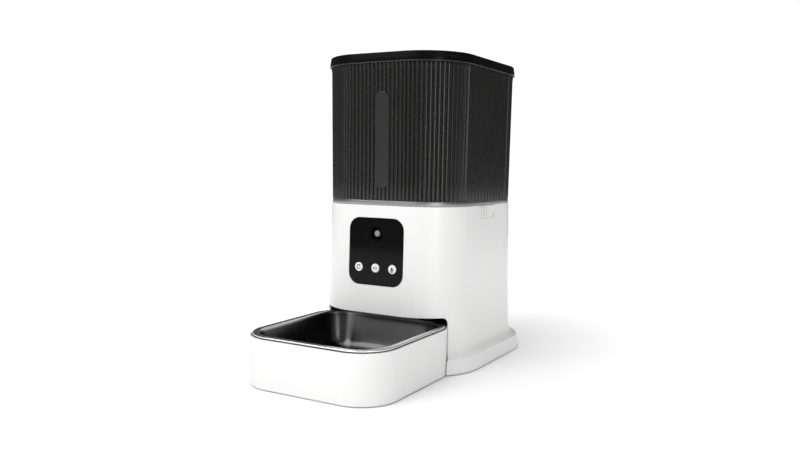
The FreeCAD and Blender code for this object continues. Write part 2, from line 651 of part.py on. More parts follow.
def gearbox():
    """Tray with the fixed pins, its cover, the screws up into the deck, and the motor below."""
    tray = slab("tray_outer", *BOX_SIZE, COVER_LOW - TRAY_LOW, (*BOX_MIDDLE, TRAY_LOW))
    well = slab("tray_inner", 64.4, 74.4, 5.2, 30, (*BOX_MIDDLE, TRAY_LOW + 2.2))
    ears = [rod(f"tray_ear{i}", 4.2, COVER_LOW - TRAY_LOW, (x, y, TRAY_LOW))
            for i, (x, y) in enumerate(gearbox_screws())]
    seat = rod("tray_seat", 5.4, 9, (*OUTPUT_AT, TRAY_LOW))
    seat_bore = rod("tray_seat_bore", 3.0, 12, (*OUTPUT_AT, TRAY_LOW + 2.2))
    idler_pin = rod("idler_pin", PIN_RADIUS, COVER_LOW - TRAY_LOW - 0.4, (*IDLER_AT, TRAY_LOW))
    idler_rise = rod("idler_rise", 3, 4.6, (*IDLER_AT, TRAY_LOW))
    motor_hole = rod("tray_motor_hole", 3.2, 8, (*PINION_AT, TRAY_LOW - 1))
    ear_holes = [rod(f"tray_ear_hole{i}", 1.35, 40, (x, y, TRAY_LOW - 5))
                 for i, (x, y) in enumerate(gearbox_screws())]
    hollow = cut("tray_hollow", tray, well)
    solid = fuse("tray_solid", hollow, seat, idler_rise, *ears)
    bored = cut("tray_bored", solid, seat_bore, motor_hole, *ear_holes)
    node("gearbox_tray", fuse("gear_tray", bored, idler_pin))
    gearbox_cover()
    screws = [screw(f"gearbox_screw{i}", (x, y, TRAY_LOW - 1.6), 25.6, 2.8, 1.3)
              for i, (x, y) in enumerate(gearbox_screws())]
    node("gearbox_screws", group("box_screws", *screws))
    can = rod("motor_can", 12, 30, (*PINION_AT, TRAY_LOW - 30))
    nose = rod("motor_nose", 3.1, 2, (*PINION_AT, TRAY_LOW))
    shaft_bore = rod("motor_bore", SHAFT_RADIUS + 0.02, 8, (*PINION_AT, TRAY_LOW - 3))
    cap = rod("motor_cap", 10.5, 3, (*PINION_AT, TRAY_LOW - 33))
    node("motor", cut("motor_body", fuse("motor_stack", can, nose, cap), shaft_bore))


def gearbox_cover():
    """Plate between the tray and the deck, with the bush that holds the output spindle."""
    tall = f"deck_high - {COVER_LOW}"
    plate = slab("cover_blank", *BOX_SIZE, tall, (*BOX_MIDDLE, COVER_LOW))
    ears = [rod(f"cover_ear{i}", 4.2, tall, (x, y, COVER_LOW))
            for i, (x, y) in enumerate(gearbox_screws())]
    hole = rod("cover_bush_hole", 8.0, 10, (*OUTPUT_AT, COVER_LOW - 1))
    screw_holes = [rod(f"cover_hole{i}", 1.35, 10, (x, y, COVER_LOW - 1))
                   for i, (x, y) in enumerate(gearbox_screws())]
    node("gearbox_cover", cut("cover", fuse("cover_solid", plate, *ears), hole, *screw_holes))
    ring = rod("bush_ring", 7.98, tall, (*OUTPUT_AT, COVER_LOW))
    bore = rod("bush_bore", 6.0, 10, (*OUTPUT_AT, COVER_LOW - 1))
    node("spindle_bush", cut("bush", ring, bore))


# ---------------------------------------------------------------- electronics and power
def electronics():
    board = cuboid("board_plate", (74, 44, 1.6), (-60, "body_y + 46", 14))
    posts = [rod(f"board_post{i}", 2.6, "14 - foot_gap - sheet", (x, y, "foot_gap + sheet"))
             for i, (x, y) in enumerate((("-56", "body_y + 50"), ("10", "body_y + 50"),
                                         ("-56", "body_y + 86"), ("10", "body_y + 86")))]
    node("board_posts", group("posts", *posts))
    parts = [("radio_can", (18, 14, 3), (-30, "body_y + 68", 15.6)),
             ("main_chip", (10, 10, 1.6), (-52, "body_y + 62", 15.6)),
             ("motor_driver", (6, 8, 1.8), (-8, "body_y + 54", 15.6)),
             ("motor_socket", (10, 5, 6), (0, "body_y + 82", 15.6))]
    chips = [cuboid(name, size, low) for name, size, low in parts]
    capacitors = [rod(f"capacitor{i}", 3.2, 9, (f"{-40 + 9 * i}", "body_y + 54", 15.6))
                  for i in range(2)]
    node("main_board", fuse("main_board_stack", board, *chips, *capacitors))
    cone = rod("speaker_rim", 14, 3, (44, "body_y + 66", "foot_gap + sheet"))
    magnet = rod("speaker_magnet", 8, 6, (44, "body_y + 66", "foot_gap + sheet + 3"))
    dip = tapered("speaker_dip", 11.5, 4, 2.2, (44, "body_y + 66", "foot_gap + sheet"))
    node("speaker", cut("speaker_body", fuse("speaker_stack", cone, magnet), dip))


def power_inlet():
    """A small rounded socket in the rear wall on its own carrier board."""
    rear = "( body_y + body_depth / 2 + 2 )"
    shell = slab("socket_shell", 8.9, 3.2, 1.55, 9, (-40, f"{rear} - 9", 36),
                 rotation=TURNS["+Y"])
    well = slab("socket_well", 8.3, 2.6, 1.25, 9, (-40, f"{rear} - 7.6", 36), rotation=TURNS["+Y"])
    tongue = cuboid("socket_tongue", (6.6, 6, 0.7), (-43.3, f"{rear} - 8", 35.65))
    node("power_inlet", fuse("socket", cut("socket_hollow", shell, well), tongue))
    node("inlet_board", cuboid("carrier", (20, 10.5, 1.6), (-50, f"{rear} - 17", 32.8)))
    bezel = slab("bezel_blank", 11.6, 5.6, 2.4, 3.4, (-40, f"{rear} - 2.8", 36),
                 rotation=TURNS["+Y"])
    opening = slab("bezel_opening", 9.0, 3.3, 1.6, 9, (-40, f"{rear} - 6", 36),
                   rotation=TURNS["+Y"])
    node("inlet_bezel", cut("bezel", bezel, opening))


def battery_bay():
    """Bay for three large cells, open below, with its door and sprung contacts."""
    low = "foot_gap + sheet + 0.1"
    tub = cuboid("bay_outer", (112, 72, 40), (-56, "body_y - 48", low))
    room = cuboid("bay_inner", (108, 68, 38), (-54, "body_y - 46", "foot_gap"))
    node("battery_box", cut("bay", tub, room))
    door = cuboid("door_plate", (107, 66.2, "sheet"), (-53.5, "body_y - 45", "foot_gap"))
    lip = cuboid("door_catch", (16, 3, 4), (-8, "body_y + 17.2", "foot_gap + sheet"))
    knuckle = rod("door_knuckle", 1.6, 100, (-50, "body_y - 44", "foot_gap + 1.6"), "+X")
    node("battery_door", fuse("door", door, lip, knuckle))
    cells = (-36, 0, 36)
    coils = [tapered(f"contact_cone{x}", 6, 3, 5, (x, "body_y - 45.9", 20), "+Y") for x in cells]
    plates = [cuboid(f"contact_plate{x}", (14, 0.5, 14), (x - 7, "body_y + 21.4", 13))
              for x in cells]
    node("battery_contacts", group("contacts", *coils, *plates))


# ---------------------------------------------------------------- hopper
TANK_TALL = "( tank_top - body_top - ring_tall )"
TANK_LOW = "( body_top + ring_tall )"


RIB_FLANK = 0.16
CORNER_EVEN = 0.87


def groove_places(flat_w, quarter, flat_d):
    """Distances of the grooves along the outline, from the middle of the front."""
    front, bend, side = [round(sized("sizes.ribs_" + word)) for word in ("front", "corner", "side")]
    places = [flat_w * i / front for i in range(front)]
    for i in range(bend):
        share = i / bend
        places.append(flat_w + quarter * (CORNER_EVEN * share + (1 - CORNER_EVEN) * share ** 4))
    places += [flat_w + quarter + flat_d * i / side for i in range(side + 1)]
    half = 2 * places[-1]
    places += [half - place for place in reversed(places[:-1])]
    return places[:-1] + [half + place for place in places[:-1]]


def ribbed_wire(width, depth, corner, z, deep):
    """A closed outline with upright ribs along a rounded rectangle."""
    in_w, in_d = width / 2 - corner, depth / 2 - corner
    quarter = math.pi * corner / 2
    runs = [("line", 2 * in_w, (-in_w, -depth / 2), 0), ("arc", quarter, (in_w, -in_d), 270),
            ("line", 2 * in_d, (width / 2, -in_d), 90), ("arc", quarter, (in_w, in_d), 0),
            ("line", 2 * in_w, (in_w, depth / 2), 180), ("arc", quarter, (-in_w, in_d), 90),
            ("line", 2 * in_d, (-width / 2, in_d), 270), ("arc", quarter, (-in_w, -in_d), 180)]
    total = sum(run[1] for run in runs)

    def along(distance, sunk):
        distance %= total
        for kind, length, start, angle in runs:
            if distance <= length:
                break
            distance -= length
        if kind == "line":
            heading = math.radians(angle)
            x = start[0] + distance * math.cos(heading) - sunk * math.sin(heading)
            y = start[1] + distance * math.sin(heading) + sunk * math.cos(heading)
            return V(x, y, z)
        turn = math.radians(angle) + distance / corner
        reach = corner - sunk
        return V(start[0] + reach * math.cos(turn), start[1] + reach * math.sin(turn), z)

    points = []
    grooves = groove_places(in_w, quarter, in_d)
    for groove, after in zip(grooves, grooves[1:] + [total]):
        flank = RIB_FLANK * (after - groove)
        points.append(along(in_w + groove, deep))
        points.append(along(in_w + groove + flank, 0.0))
        points.append(along(in_w + after - flank, 0.0))
    return Part.makePolygon(points + [points[0]])


def hopper_tank():
    """Ribbed tank: open top and bottom, with a smooth flat for the level window."""
    doc.recompute()
    low, high = sized(e(TANK_LOW)), sized("sizes.tank_top")
    width, depth = sized("sizes.tank_width"), sized("sizes.tank_depth")
    corner, spread = sized("sizes.tank_corner"), sized("sizes.tank_spread")
    deep = sized("sizes.rib_deep")
    bottom = ribbed_wire(width, depth, corner, low, deep)
    top = ribbed_wire(width + 2 * spread, depth + 2 * spread, corner + spread, high, deep)
    ribbed = featured("tank_ribs", Part.makeLoft([bottom, top], True, True),
                      FreeCAD.Placement(V(0, sized("sizes.body_y"), 0), FreeCAD.Rotation()))
    room = tank_offset("tank_room", "tank_wall", 1)
    node("hopper_tank", cut("tank", ribbed, room, level_window("window_hole", 0.0)))


def tank_offset(name, inset, past):
    """The space inside the hopper's walls, run past its two ends."""
    return lofted(name, (f"tank_width - 2 * {inset}", f"tank_depth - 2 * {inset}",
                         f"tank_corner - {inset}", 0, "body_y", f"{TANK_LOW} - {past}"),
                  (f"tank_width + 2 * tank_spread - 2 * {inset}",
                   f"tank_depth + 2 * tank_spread - 2 * {inset}",
                   f"tank_corner + tank_spread - {inset}", 0, "body_y", f"tank_top + {past}"))


def level_window(name, shrink):
    """The pill-shaped outline of the level window, padded towards the front."""
    wide = f"window_wide - 2 * {shrink}"
    tall = f"window_high - window_low - 2 * {shrink}"
    return slab(name, wide, tall, f"( {wide} ) / 2 - 0.01", 20,
                ("window_x", "body_y - tank_depth / 2 + 8", "( window_low + window_high ) / 2"),
                rotation=TURNS["-Y"])


def view_window():
    """Smoked pane that follows the front wall's lean."""
    front = tank_offset("pane_front", 0.1, 0)
    pane = common("pane_shaped", level_window("pane_blank", 0.1), front)
    node("view_window", cut("pane", pane, tank_offset("pane_back", "tank_wall", 1)))


def hopper_funnel():
    """Sloped floor from the tank walls down to the drum, with the two lock hooks."""
    rim_z = 204
    share = f"( tank_spread * ( {rim_z} - {TANK_LOW} ) / {TANK_TALL} )"
    rim_w = f"tank_width - 2 * tank_wall - 0.4 + 2 * {share}"
    rim_d = f"tank_depth - 2 * tank_wall - 0.4 + 2 * {share}"
    ring = "( 2 * drum_radius + 4.6 )"
    outer = lofted("funnel_outer",
                   (ring, ring, f"{ring} / 2 - 0.01", 0, ROTOR_Y, "drum_top"),
                   (rim_w, rim_d, "tank_corner - tank_wall", 0, "body_y", rim_z))
    inner = lofted("funnel_inner",
                   ("2 * drum_radius", "2 * drum_radius", "drum_radius - 0.01", 0, ROTOR_Y,
                    "drum_top - 0.01"),
                   (f"{rim_w} - 3.2", f"{rim_d} - 3.2", "tank_corner - tank_wall - 1.6", 0,
                    "body_y", f"{rim_z} + 0.1"))
    flange_outer = slab("flange_outer", "tank_width - 2 * tank_wall - 0.4",
                        "tank_depth - 2 * tank_wall - 0.4", "tank_corner - tank_wall - 0.2",
                        "sheet", (0, "body_y", f"{TANK_LOW} + 0.1"))
    hooks = []
    for side in (-1, 1):
        x = f"{side} * ( body_width / 2 - 11.5 )"
        arm = cuboid(f"hook_arm{side}", (3.2, 15, 22), (f"{x} - 1.6", "body_y - 7", 161))
        notch = cuboid(f"hook_notch{side}", (6, 11, 5.6),
                       (f"{x} - 3", "body_y - 8", "lock_high - 2.6"))
        hooks.append(cut(f"hook{side}", arm, notch))
    solid = fuse("funnel_solid", outer, flange_outer, *hooks)
    node("hopper_funnel", cut("funnel", solid, inner))


def dispensing_drum():
    """Round chamber under the funnel; its floor has the outlet ahead of the rotor."""
    wall = rod("drum_outer", "drum_radius + 2", "drum_top - drum_low", (0, ROTOR_Y, "drum_low"))
    room = rod("drum_inner", "drum_radius", 40, (0, ROTOR_Y, "drum_low + sheet"))
    journal = rod("drum_journal", 13.5, 10, (0, ROTOR_Y, "drum_low - 1"))
    slot = cuboid("outlet_box", (60, 27, 8), (-30, "body_y - 42", "drum_low - 2"))
    limit = rod("outlet_limit", "drum_radius - 2", 12, (0, ROTOR_Y, "drum_low - 4"))
    outlet = common("outlet", slot, limit)
    node("dispensing_drum", cut("drum", wall, room, journal, outlet))
    bush = rod("rotor_bush_ring", 13.48, "sheet", (0, ROTOR_Y, "drum_low"))
    hole = rod("rotor_bush_bore", 11.0, 8, (0, ROTOR_Y, "drum_low - 1"))
    node("rotor_bush", cut("rotor_bush_body", bush, hole))
    disc = rod("baffle_disc", "drum_radius - 0.05", 2, (0, ROTOR_Y, "drum_top - 2.6"))
    clear = rod("baffle_clear", 14, 8, (0, ROTOR_Y, "drum_top - 5"))
    behind = cuboid("baffle_behind", (140, 80, 10), (-70, f"{ROTOR_Y} - 4", "drum_top - 6"))
    node("portion_baffle", cut("baffle", disc, clear, behind))


def rotor():
    """Hub with a six-sided socket, soft vanes and a stirrer above the baffle."""
    low = sized("sizes.drum_low")
    journal = rod("hub_journal", 10.95, "sheet + 0.4", (0, ROTOR_Y, low))
    barrel = rod("hub_barrel", 12, 25.6, (0, ROTOR_Y, low + 2.9))
    top = rod("hub_top", 6, 10, (0, ROTOR_Y, low + 28))
    socket = featured("hub_socket", hexagon_solid(HEX_RADIUS + HEX_PLAY, 12),
                      placed(OUTPUT_AT, low - 1))
    node("rotor_hub", cut("hub", fuse("hub_solid", journal, barrel, top), socket))
    sleeve = rod("vane_sleeve", 14.4, 24, (0, ROTOR_Y, low + 3.2))
    bore = rod("vane_bore", 12.02, 40, (0, ROTOR_Y, low))
    blades = []
    for i in range(6):
        blade = cuboid(f"vane{i}", (42.6, 2.4, 23.4), (0, 0, 0))
        angle = 30 + 60 * i
        place = placed(OUTPUT_AT, low + 3.4, angle)
        offset = place.Rotation.multVec(V(13.4, -1.2, 0))
        blade.Placement = FreeCAD.Placement(place.Base + offset, place.Rotation)
        for axis in "XYZ":
            blade.setExpression(f"Placement.Base.{axis.lower()}", None)
        blades.append(blade)
    node("rotor_vanes", cut("vanes", fuse("vanes_solid", sleeve, *blades), bore))
    ring = rod("stirrer_ring", 9.5, 5, (0, ROTOR_Y, low + 31.6))
    arm = slab("stirrer_arm", 70, 8, 3.9, 4, (0, ROTOR_Y, low + 31.6))
    eye = rod("stirrer_eye", 6.03, 9, (0, ROTOR_Y, low + 30))
    node("stirrer", cut("stirrer_body", fuse("stirrer_solid", ring, arm), eye))


# ---------------------------------------------------------------- lid
def lid():
    """Cap over the tank with a liner that plugs the mouth, its gasket and the dryer box."""
    high_w = "tank_width + 2 * tank_spread + 2 * lid_overhang"
    high_d = "tank_depth + 2 * tank_spread + 2 * lid_overhang"
    high_r = "tank_corner + tank_spread + lid_overhang"
    top_z = "( tank_top + lid_tall )"
    block = slab("lid_block", high_w, high_d, high_r, "lid_tall", (0, "body_y", "tank_top"))
    rounded = soften("lid_rounded", block, 2.2, level(sized(e(top_z))))
    hollow = slab("lid_hollow", f"{high_w} - 5", f"{high_d} - 5", f"{high_r} - 2.5",
                  "lid_tall - 1.4", (0, "body_y", "tank_top - 1"))
    node("lid_shell", cut("lid", rounded, hollow))
    mouth_w = "( tank_width + 2 * tank_spread - 2 * tank_wall )"
    mouth_d = "( tank_depth + 2 * tank_spread - 2 * tank_wall )"
    mouth_r = "( tank_corner + tank_spread - tank_wall )"
    plug = slab("liner_plug", f"{mouth_w} - 5", f"{mouth_d} - 5", f"{mouth_r} - 2.5",
                "lid_tall - 2.4 + 7", (0, "body_y", "tank_top - 7"))
    scoop = slab("liner_scoop", f"{mouth_w} - 9", f"{mouth_d} - 9", f"{mouth_r} - 4.5",
                 "lid_tall + 7 - 4.4", (0, "body_y", "tank_top - 5"))
    node("lid_liner", cut("liner_body", plug, scoop))
    seal = slab("gasket_outer", f"{mouth_w} - 0.8", f"{mouth_d} - 0.8", f"{mouth_r} - 0.4", 3,
                (0, "body_y", "tank_top - 5"))
    seal_hole = slab("gasket_inner", f"{mouth_w} - 4.96", f"{mouth_d} - 4.96",
                     f"{mouth_r} - 2.48", 5, (0, "body_y", "tank_top - 6"))
    node("lid_gasket", cut("gasket", seal, seal_hole))
    box_low = "tank_top - 7 - 16"
    cup = rod("dryer_cup", 32, 16, (0, "body_y", box_low))
    room = rod("dryer_room", 30.4, 14.4, (0, "body_y", box_low))
    node("desiccant_box", cut("dryer", cup, room))
    cap = rod("dryer_cap_disc", 33.6, 1.8, (0, "body_y", f"{box_low} - 2"))
    skirt = cut("dryer_cap_skirt", rod("dryer_cap_outer", 33.6, 7, (0, "body_y", f"{box_low} - 2")),
                rod("dryer_cap_inner", 32.06, 9, (0, "body_y", f"{box_low} - 0.2")))
    vents = [cuboid(f"dryer_vent{i}", (36, 2.2, 6), (-18, f"body_y - 13.1 + {6 * i}",
                                                    f"{box_low} - 4"))
             for i in range(5)]
    node("desiccant_cover", cut("dryer_cap", fuse("dryer_cap_solid", cap, skirt), *vents))
    node("desiccant_sachet", slab("sachet", 40, 40, 8, 8, (0, "body_y", f"{box_low} + 0.4")))


# ---------------------------------------------------------------- bowl and holder
def bowl_holder():
    outer = slab("holder_outer", "holder_width", "holder_length", "holder_corner",
                 "holder_top - foot_gap", (0, HOLDER_Y, "foot_gap"))
    inner = slab("holder_inner", "holder_width - 2 * holder_wall",
                 "holder_length - 2 * holder_wall", "holder_corner - holder_wall", 80,
                 (0, HOLDER_Y, "foot_gap + 2.2"))
    seats = [rod(f"pad_seat{i}", 6.2, 1.6, (x, y, 0)) for i, (x, y) in enumerate(pad_places())]
    shell = cut("holder_shell", outer, inner)
    ribs = [cuboid(f"holder_rib{x}", (6, 40, 30), (x, f"{HOLDER_Y} - 20", "foot_gap + 2"))
            for x in (-78, 72)]
    node("bowl_holder", cut("holder", fuse("holder_ribbed", shell, *ribs), *seats))
    pads = [rod(f"pad{i}", 6, 1.6, (x, y, 0)) for i, (x, y) in enumerate(pad_places())]
    node("holder_pads", group("pads", *pads))


def pad_places():
    return [(x, f"{HOLDER_Y} + {y}") for x in ("-58", "58") for y in (-60, 60)]


def steel_bowl():
    """Pressed bowl with a rolled flange that rests on the holder's edge."""
    inset = "flange_inset"
    rim_w, rim_d = f"holder_width - 2 * {inset}", f"holder_length - 2 * {inset}"
    rim_r = f"holder_corner - {inset}"
    top = "( holder_top + flange_thick )"
    flange = slab("flange_blank", rim_w, rim_d, rim_r, "flange_thick", (0, HOLDER_Y, "holder_top"))
    rolled = soften("flange_rolled", flange, 1.1, level(sized(e(top))))
    mouth_w, mouth_d = f"{rim_w} - 2 * flange_wide", f"{rim_d} - 2 * flange_wide"
    mouth_r = f"{rim_r} - flange_wide"
    tall = f"( {top} - bowl_low )"
    draft = 12
    lower = ("0", HOLDER_Y, "bowl_low")
    outer = slab("bowl_outer", f"{mouth_w} + 2 * steel - 2 * {draft}",
                 f"{mouth_d} + 2 * steel - 2 * {draft}", f"{mouth_r} + steel - {draft} + 6", tall,
                 lower, f"-{draft}")
    outer_round = soften("bowl_outer_round", outer, 11, level(sized("sizes.bowl_low")))
    inner = slab("bowl_inner", f"{mouth_w} - 2 * {draft}", f"{mouth_d} - 2 * {draft}",
                 f"{mouth_r} - {draft} + 6", tall, ("0", HOLDER_Y, "bowl_low + steel"),
                 f"-{draft}")
    inner_round = soften("bowl_inner_round", inner, 10.2, level(sized(e("bowl_low + steel"))))
    node("steel_bowl", cut("bowl", fuse("bowl_solid", rolled, outer_round), inner_round))


# ---------------------------------------------------------------- build and write
def build():
    dock = main_housing()
    relief = dock_liner(dock)
    bottom_plate(relief)
    rubber_feet()
    trim_ring()
    control_panel()
    camera()
    buttons()
    hopper_locks()
    food_chute()
    food_sensors()
    drive_deck()
    drive_gears()
    gearbox()
    electronics()
    power_inlet()
    battery_bay()
    hopper_tank()
    view_window()
    hopper_funnel()
    dispensing_drum()
    rotor()
    lid()
    bowl_holder()
    steel_bowl()


def check_and_write():
    doc.recompute()
    failed = [o.Label for o in doc.Objects if {"Invalid", "Error"} & set(o.State)]
    if failed:
        raise RuntimeError(f"failed objects: {failed}")
    for name, obj in NODES.items():
        if obj.Shape.isNull() or not obj.Shape.isValid() or not obj.Shape.Solids:
            raise RuntimeError(f"bad shape: {name}")
    for name, obj in NODES.items():
        obj.Shape.exportStep(f"parts/{name}.step")
        box = obj.Shape.BoundBox
        print(f"{name:20s} {len(obj.Shape.Solids)} solid(s) {obj.Shape.Volume:10.0f} mm3  "
              f"x {box.XMin:7.1f} {box.XMax:7.1f}  y {box.YMin:7.1f} {box.YMax:7.1f}  "
              f"z {box.ZMin:7.1f} {box.ZMax:7.1f}")


build()
check_and_write()
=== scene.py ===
"""Automatic pet feeder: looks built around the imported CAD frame. Metres, front towards -Y."""
import json
import math

import bmesh
import bpy
import numpy as np
from mathutils import Matrix, Vector
from mathutils.geometry import delaunay_2d_cdt


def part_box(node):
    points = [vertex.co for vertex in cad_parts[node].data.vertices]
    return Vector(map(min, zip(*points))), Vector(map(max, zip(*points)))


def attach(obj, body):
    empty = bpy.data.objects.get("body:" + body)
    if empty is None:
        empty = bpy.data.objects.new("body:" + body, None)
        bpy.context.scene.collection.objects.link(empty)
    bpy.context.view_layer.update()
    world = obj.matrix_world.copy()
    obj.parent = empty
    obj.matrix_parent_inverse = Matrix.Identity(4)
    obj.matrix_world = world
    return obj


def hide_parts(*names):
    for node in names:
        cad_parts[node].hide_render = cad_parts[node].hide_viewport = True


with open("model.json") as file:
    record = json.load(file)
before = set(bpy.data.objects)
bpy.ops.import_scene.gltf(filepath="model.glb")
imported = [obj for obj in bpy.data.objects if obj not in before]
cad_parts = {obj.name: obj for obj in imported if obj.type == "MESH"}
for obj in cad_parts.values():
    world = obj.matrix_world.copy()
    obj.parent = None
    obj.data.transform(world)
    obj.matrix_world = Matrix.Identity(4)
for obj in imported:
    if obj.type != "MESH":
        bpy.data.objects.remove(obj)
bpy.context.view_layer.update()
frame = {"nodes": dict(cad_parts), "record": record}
MM = 0.001

# -------------------- sizes from the frame
HOUSING_LOW, HOUSING_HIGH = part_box("main_housing")
TANK_LOW, TANK_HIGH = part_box("hopper_tank")
LID_LOW, LID_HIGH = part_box("lid_shell")
RING_LOW, RING_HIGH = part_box("trim_ring")
PANEL_LOW, PANEL_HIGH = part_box("control_panel")
HOLDER_LOW, HOLDER_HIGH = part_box("bowl_holder")
BOWL_LOW, BOWL_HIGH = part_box("steel_bowl")
WINDOW_LOW, WINDOW_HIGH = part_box("view_window")
LENS_LOW, LENS_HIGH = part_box("camera_lens")
BARREL_LOW, BARREL_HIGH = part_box("camera_barrel")

BODY_Y = (RING_LOW.y + RING_HIGH.y) / 2
BODY_TOP = HOUSING_HIGH.z

# how far the housing stands out past its top edge: at the floor, at the ridge, above it
FLOOR_OUT = 15.7 * MM
RIDGE_OUT = 13.1 * MM
FLARE = 3.7 * MM
RIDGE_Z = 16.1 * MM
BLEND = 8.6 * MM
EDGE = 0.8 * MM
FINE_EDGE = 0.3 * MM
LIP_STEPS = 5

# the opening for the bowl holder: its top, the rounding there and the gap round the holder
DOCK_TOP = 58.7 * MM
DOCK_ROUND = 6.5 * MM
DOCK_GAP = 1.2 * MM


# -------------------- outlines and profiles
class Outline:
    """A rounded rectangle from above, walked anticlockwise from the middle of its front."""

    def __init__(self, half_w, half_d, corner, middle_y):
        self.flat_w, self.flat_d = half_w - corner, half_d - corner
        self.half_w, self.half_d, self.corner, self.y = half_w, half_d, corner, middle_y
        bend = corner * math.pi / 2
        self.runs = [self.flat_w, bend, 2 * self.flat_d, bend, 2 * self.flat_w, bend,
                     2 * self.flat_d, bend, self.flat_w]
        self.length = sum(self.runs)

    def at(self, s):
        """Point and outward direction at a distance s along the outline."""
        s %= self.length
        run = 0
        while run < 8 and s > self.runs[run]:
            s -= self.runs[run]
            run += 1
        heading = math.radians(90 * (run // 2))
        along = Vector((math.cos(heading), math.sin(heading), 0))
        out = Vector((along.y, -along.x, 0))
        side = run // 2 % 2
        flat = (self.flat_w, self.flat_d)[side]
        reach = (self.half_d, self.half_w)[side]
        if run % 2 == 0:
            start = 0.0 if run == 0 else -flat
            return out * reach + along * (start + s) + Vector((0, self.y, 0)), out
        turn = s / self.corner
        direction = out * math.cos(turn) + along * math.sin(turn)
        centre = out * (reach - self.corner) + along * flat + Vector((0, self.y, 0))
        return centre + direction * self.corner, direction

    def stations(self, per_corner=36, step=8 * MM):
        """Distances for the columns of a mesh, closer together round the corners."""
        marks, start = [], 0.0
        for run, length in enumerate(self.runs):
            count = per_corner if run % 2 else max(1, math.ceil(length / step))
            marks += [start + length * i / count for i in range(count)]
            start += length
        return marks

    def across(self, x, out):
        """Distance along the front at which a skin standing out by out has this x."""
        past = abs(x) - self.flat_w
        if past <= 0:
            return x
        bend = self.corner * math.asin(past / (self.corner + out))
        return math.copysign(self.flat_w + bend, x)

    def offsets(self, points):
        """How far points lie outside the outline, and the outward directions, for arrays."""
        place = np.stack([points[:, 0], points[:, 1] - self.y], axis=1)
        past = np.abs(place) - [self.flat_w, self.flat_d]
        outer = np.maximum(past, 0)
        length = np.linalg.norm(outer, axis=1)
        flat = np.where(past[:, :1] > past[:, 1:], [[1.0, 0.0]], [[0.0, 1.0]])
        direction = np.where(length[:, None] > 1e-9,
                             outer / np.maximum(length, 1e-9)[:, None], flat)
        distance = length + np.minimum(past.max(axis=1), 0) - self.corner
        return distance, direction * np.where(place < 0, -1, 1)


def plan(low, high, corner, grow=0.0, middle_y=BODY_Y):
    """The outline of a box's footprint, grown all round."""
    return Outline((high.x - low.x) / 2 + grow, (high.y - low.y) / 2 + grow, corner, middle_y)


class Profile:
    """A section with rounded corners: samples of (out, z), outward normal and run length."""

    def __init__(self, corners, step=7 * MM, bend=12):
        points = [corners[0][:2]]
        for before, (o, z, radius), after in zip(corners, corners[1:-1], corners[2:]):
            points += self.rounded(before[:2], (o, z), after[:2], radius, bend)
        points.append(corners[-1][:2])
        dense = [points[0]]
        for end in points[1:]:
            start = dense[-1]
            gap = math.dist(start, end)
            count = max(1, math.ceil(gap / step - 1e-6))
            for i in range(1, count + 1):
                dense.append((start[0] + (end[0] - start[0]) * i / count,
                              start[1] + (end[1] - start[1]) * i / count))
        self.samples, run = [], 0.0
        for i, (o, z) in enumerate(dense):
            sides = []
            if i:
                sides.append(self.normal(dense[i - 1], (o, z)))
                run += math.dist(dense[i - 1], (o, z))
            if i < len(dense) - 1:
                sides.append(self.normal((o, z), dense[i + 1]))
            no, nz = sum(n[0] for n in sides), sum(n[1] for n in sides)
            size = math.hypot(no, nz)
            self.samples.append((o, z, no / size, nz / size, run))
        self.length = run

    @staticmethod
    def normal(a, b):
        gap = math.dist(a, b)
        return (b[1] - a[1]) / gap, -(b[0] - a[0]) / gap

    @staticmethod
    def rounded(before, corner, after, radius, bend):
        """The arc that rounds one corner of a section."""
        p = Vector(corner)
        one, two = (Vector(before) - p).normalized(), (Vector(after) - p).normalized()
        half = math.acos(max(-1.0, min(1.0, one.dot(two)))) / 2
        if radius <= 0 or half > math.radians(89.5):
            return [corner]
        centre = p + (one + two).normalized() * (radius / math.sin(half))
        start = p + one * (radius / math.tan(half)) - centre
        end = p + two * (radius / math.tan(half)) - centre
        swing = math.atan2(start.x * end.y - start.y * end.x, start.dot(end))
        count = max(3, math.ceil(abs(math.degrees(swing)) / bend))
        turned = []
        for i in range(count + 1):
            turn = swing * i / count
            turned.append((centre.x + start.x * math.cos(turn) - start.y * math.sin(turn),
                           centre.y + start.x * math.sin(turn) + start.y * math.cos(turn)))
        return turned

    def at(self, t):
        """The sample at a run length, between its neighbours."""
        last = self.samples[0]
        for sample in self.samples[1:]:
            if t <= sample[4] + 1e-12:
                share = (t - last[4]) / max(sample[4] - last[4], 1e-12)
                return [x + (y - x) * share for x, y in zip(last, sample)]
            last = sample
        return list(last)

    def where(self, z):
        """The run length at which an upright part of the section passes height z."""
        for low, high in zip(self.samples, self.samples[1:]):
            if low[1] <= z <= high[1] and high[1] > low[1]:
                return low[4] + (high[4] - low[4]) * (z - low[1]) / (high[1] - low[1])
        return self.length


class Surface:
    """Points and normals over an outline (distance s) and a profile (run length t)."""

    def __init__(self, outline, profile):
        self.outline, self.profile = outline, profile

    def at(self, s, t, depth=0.0):
        out, z, no, nz, _ = self.profile.at(t)
        point, side = self.outline.at(s)
        spot = point + side * (out - depth * no)
        spot.z = z - depth * nz
        return spot, (side * no + Vector((0, 0, nz))).normalized()


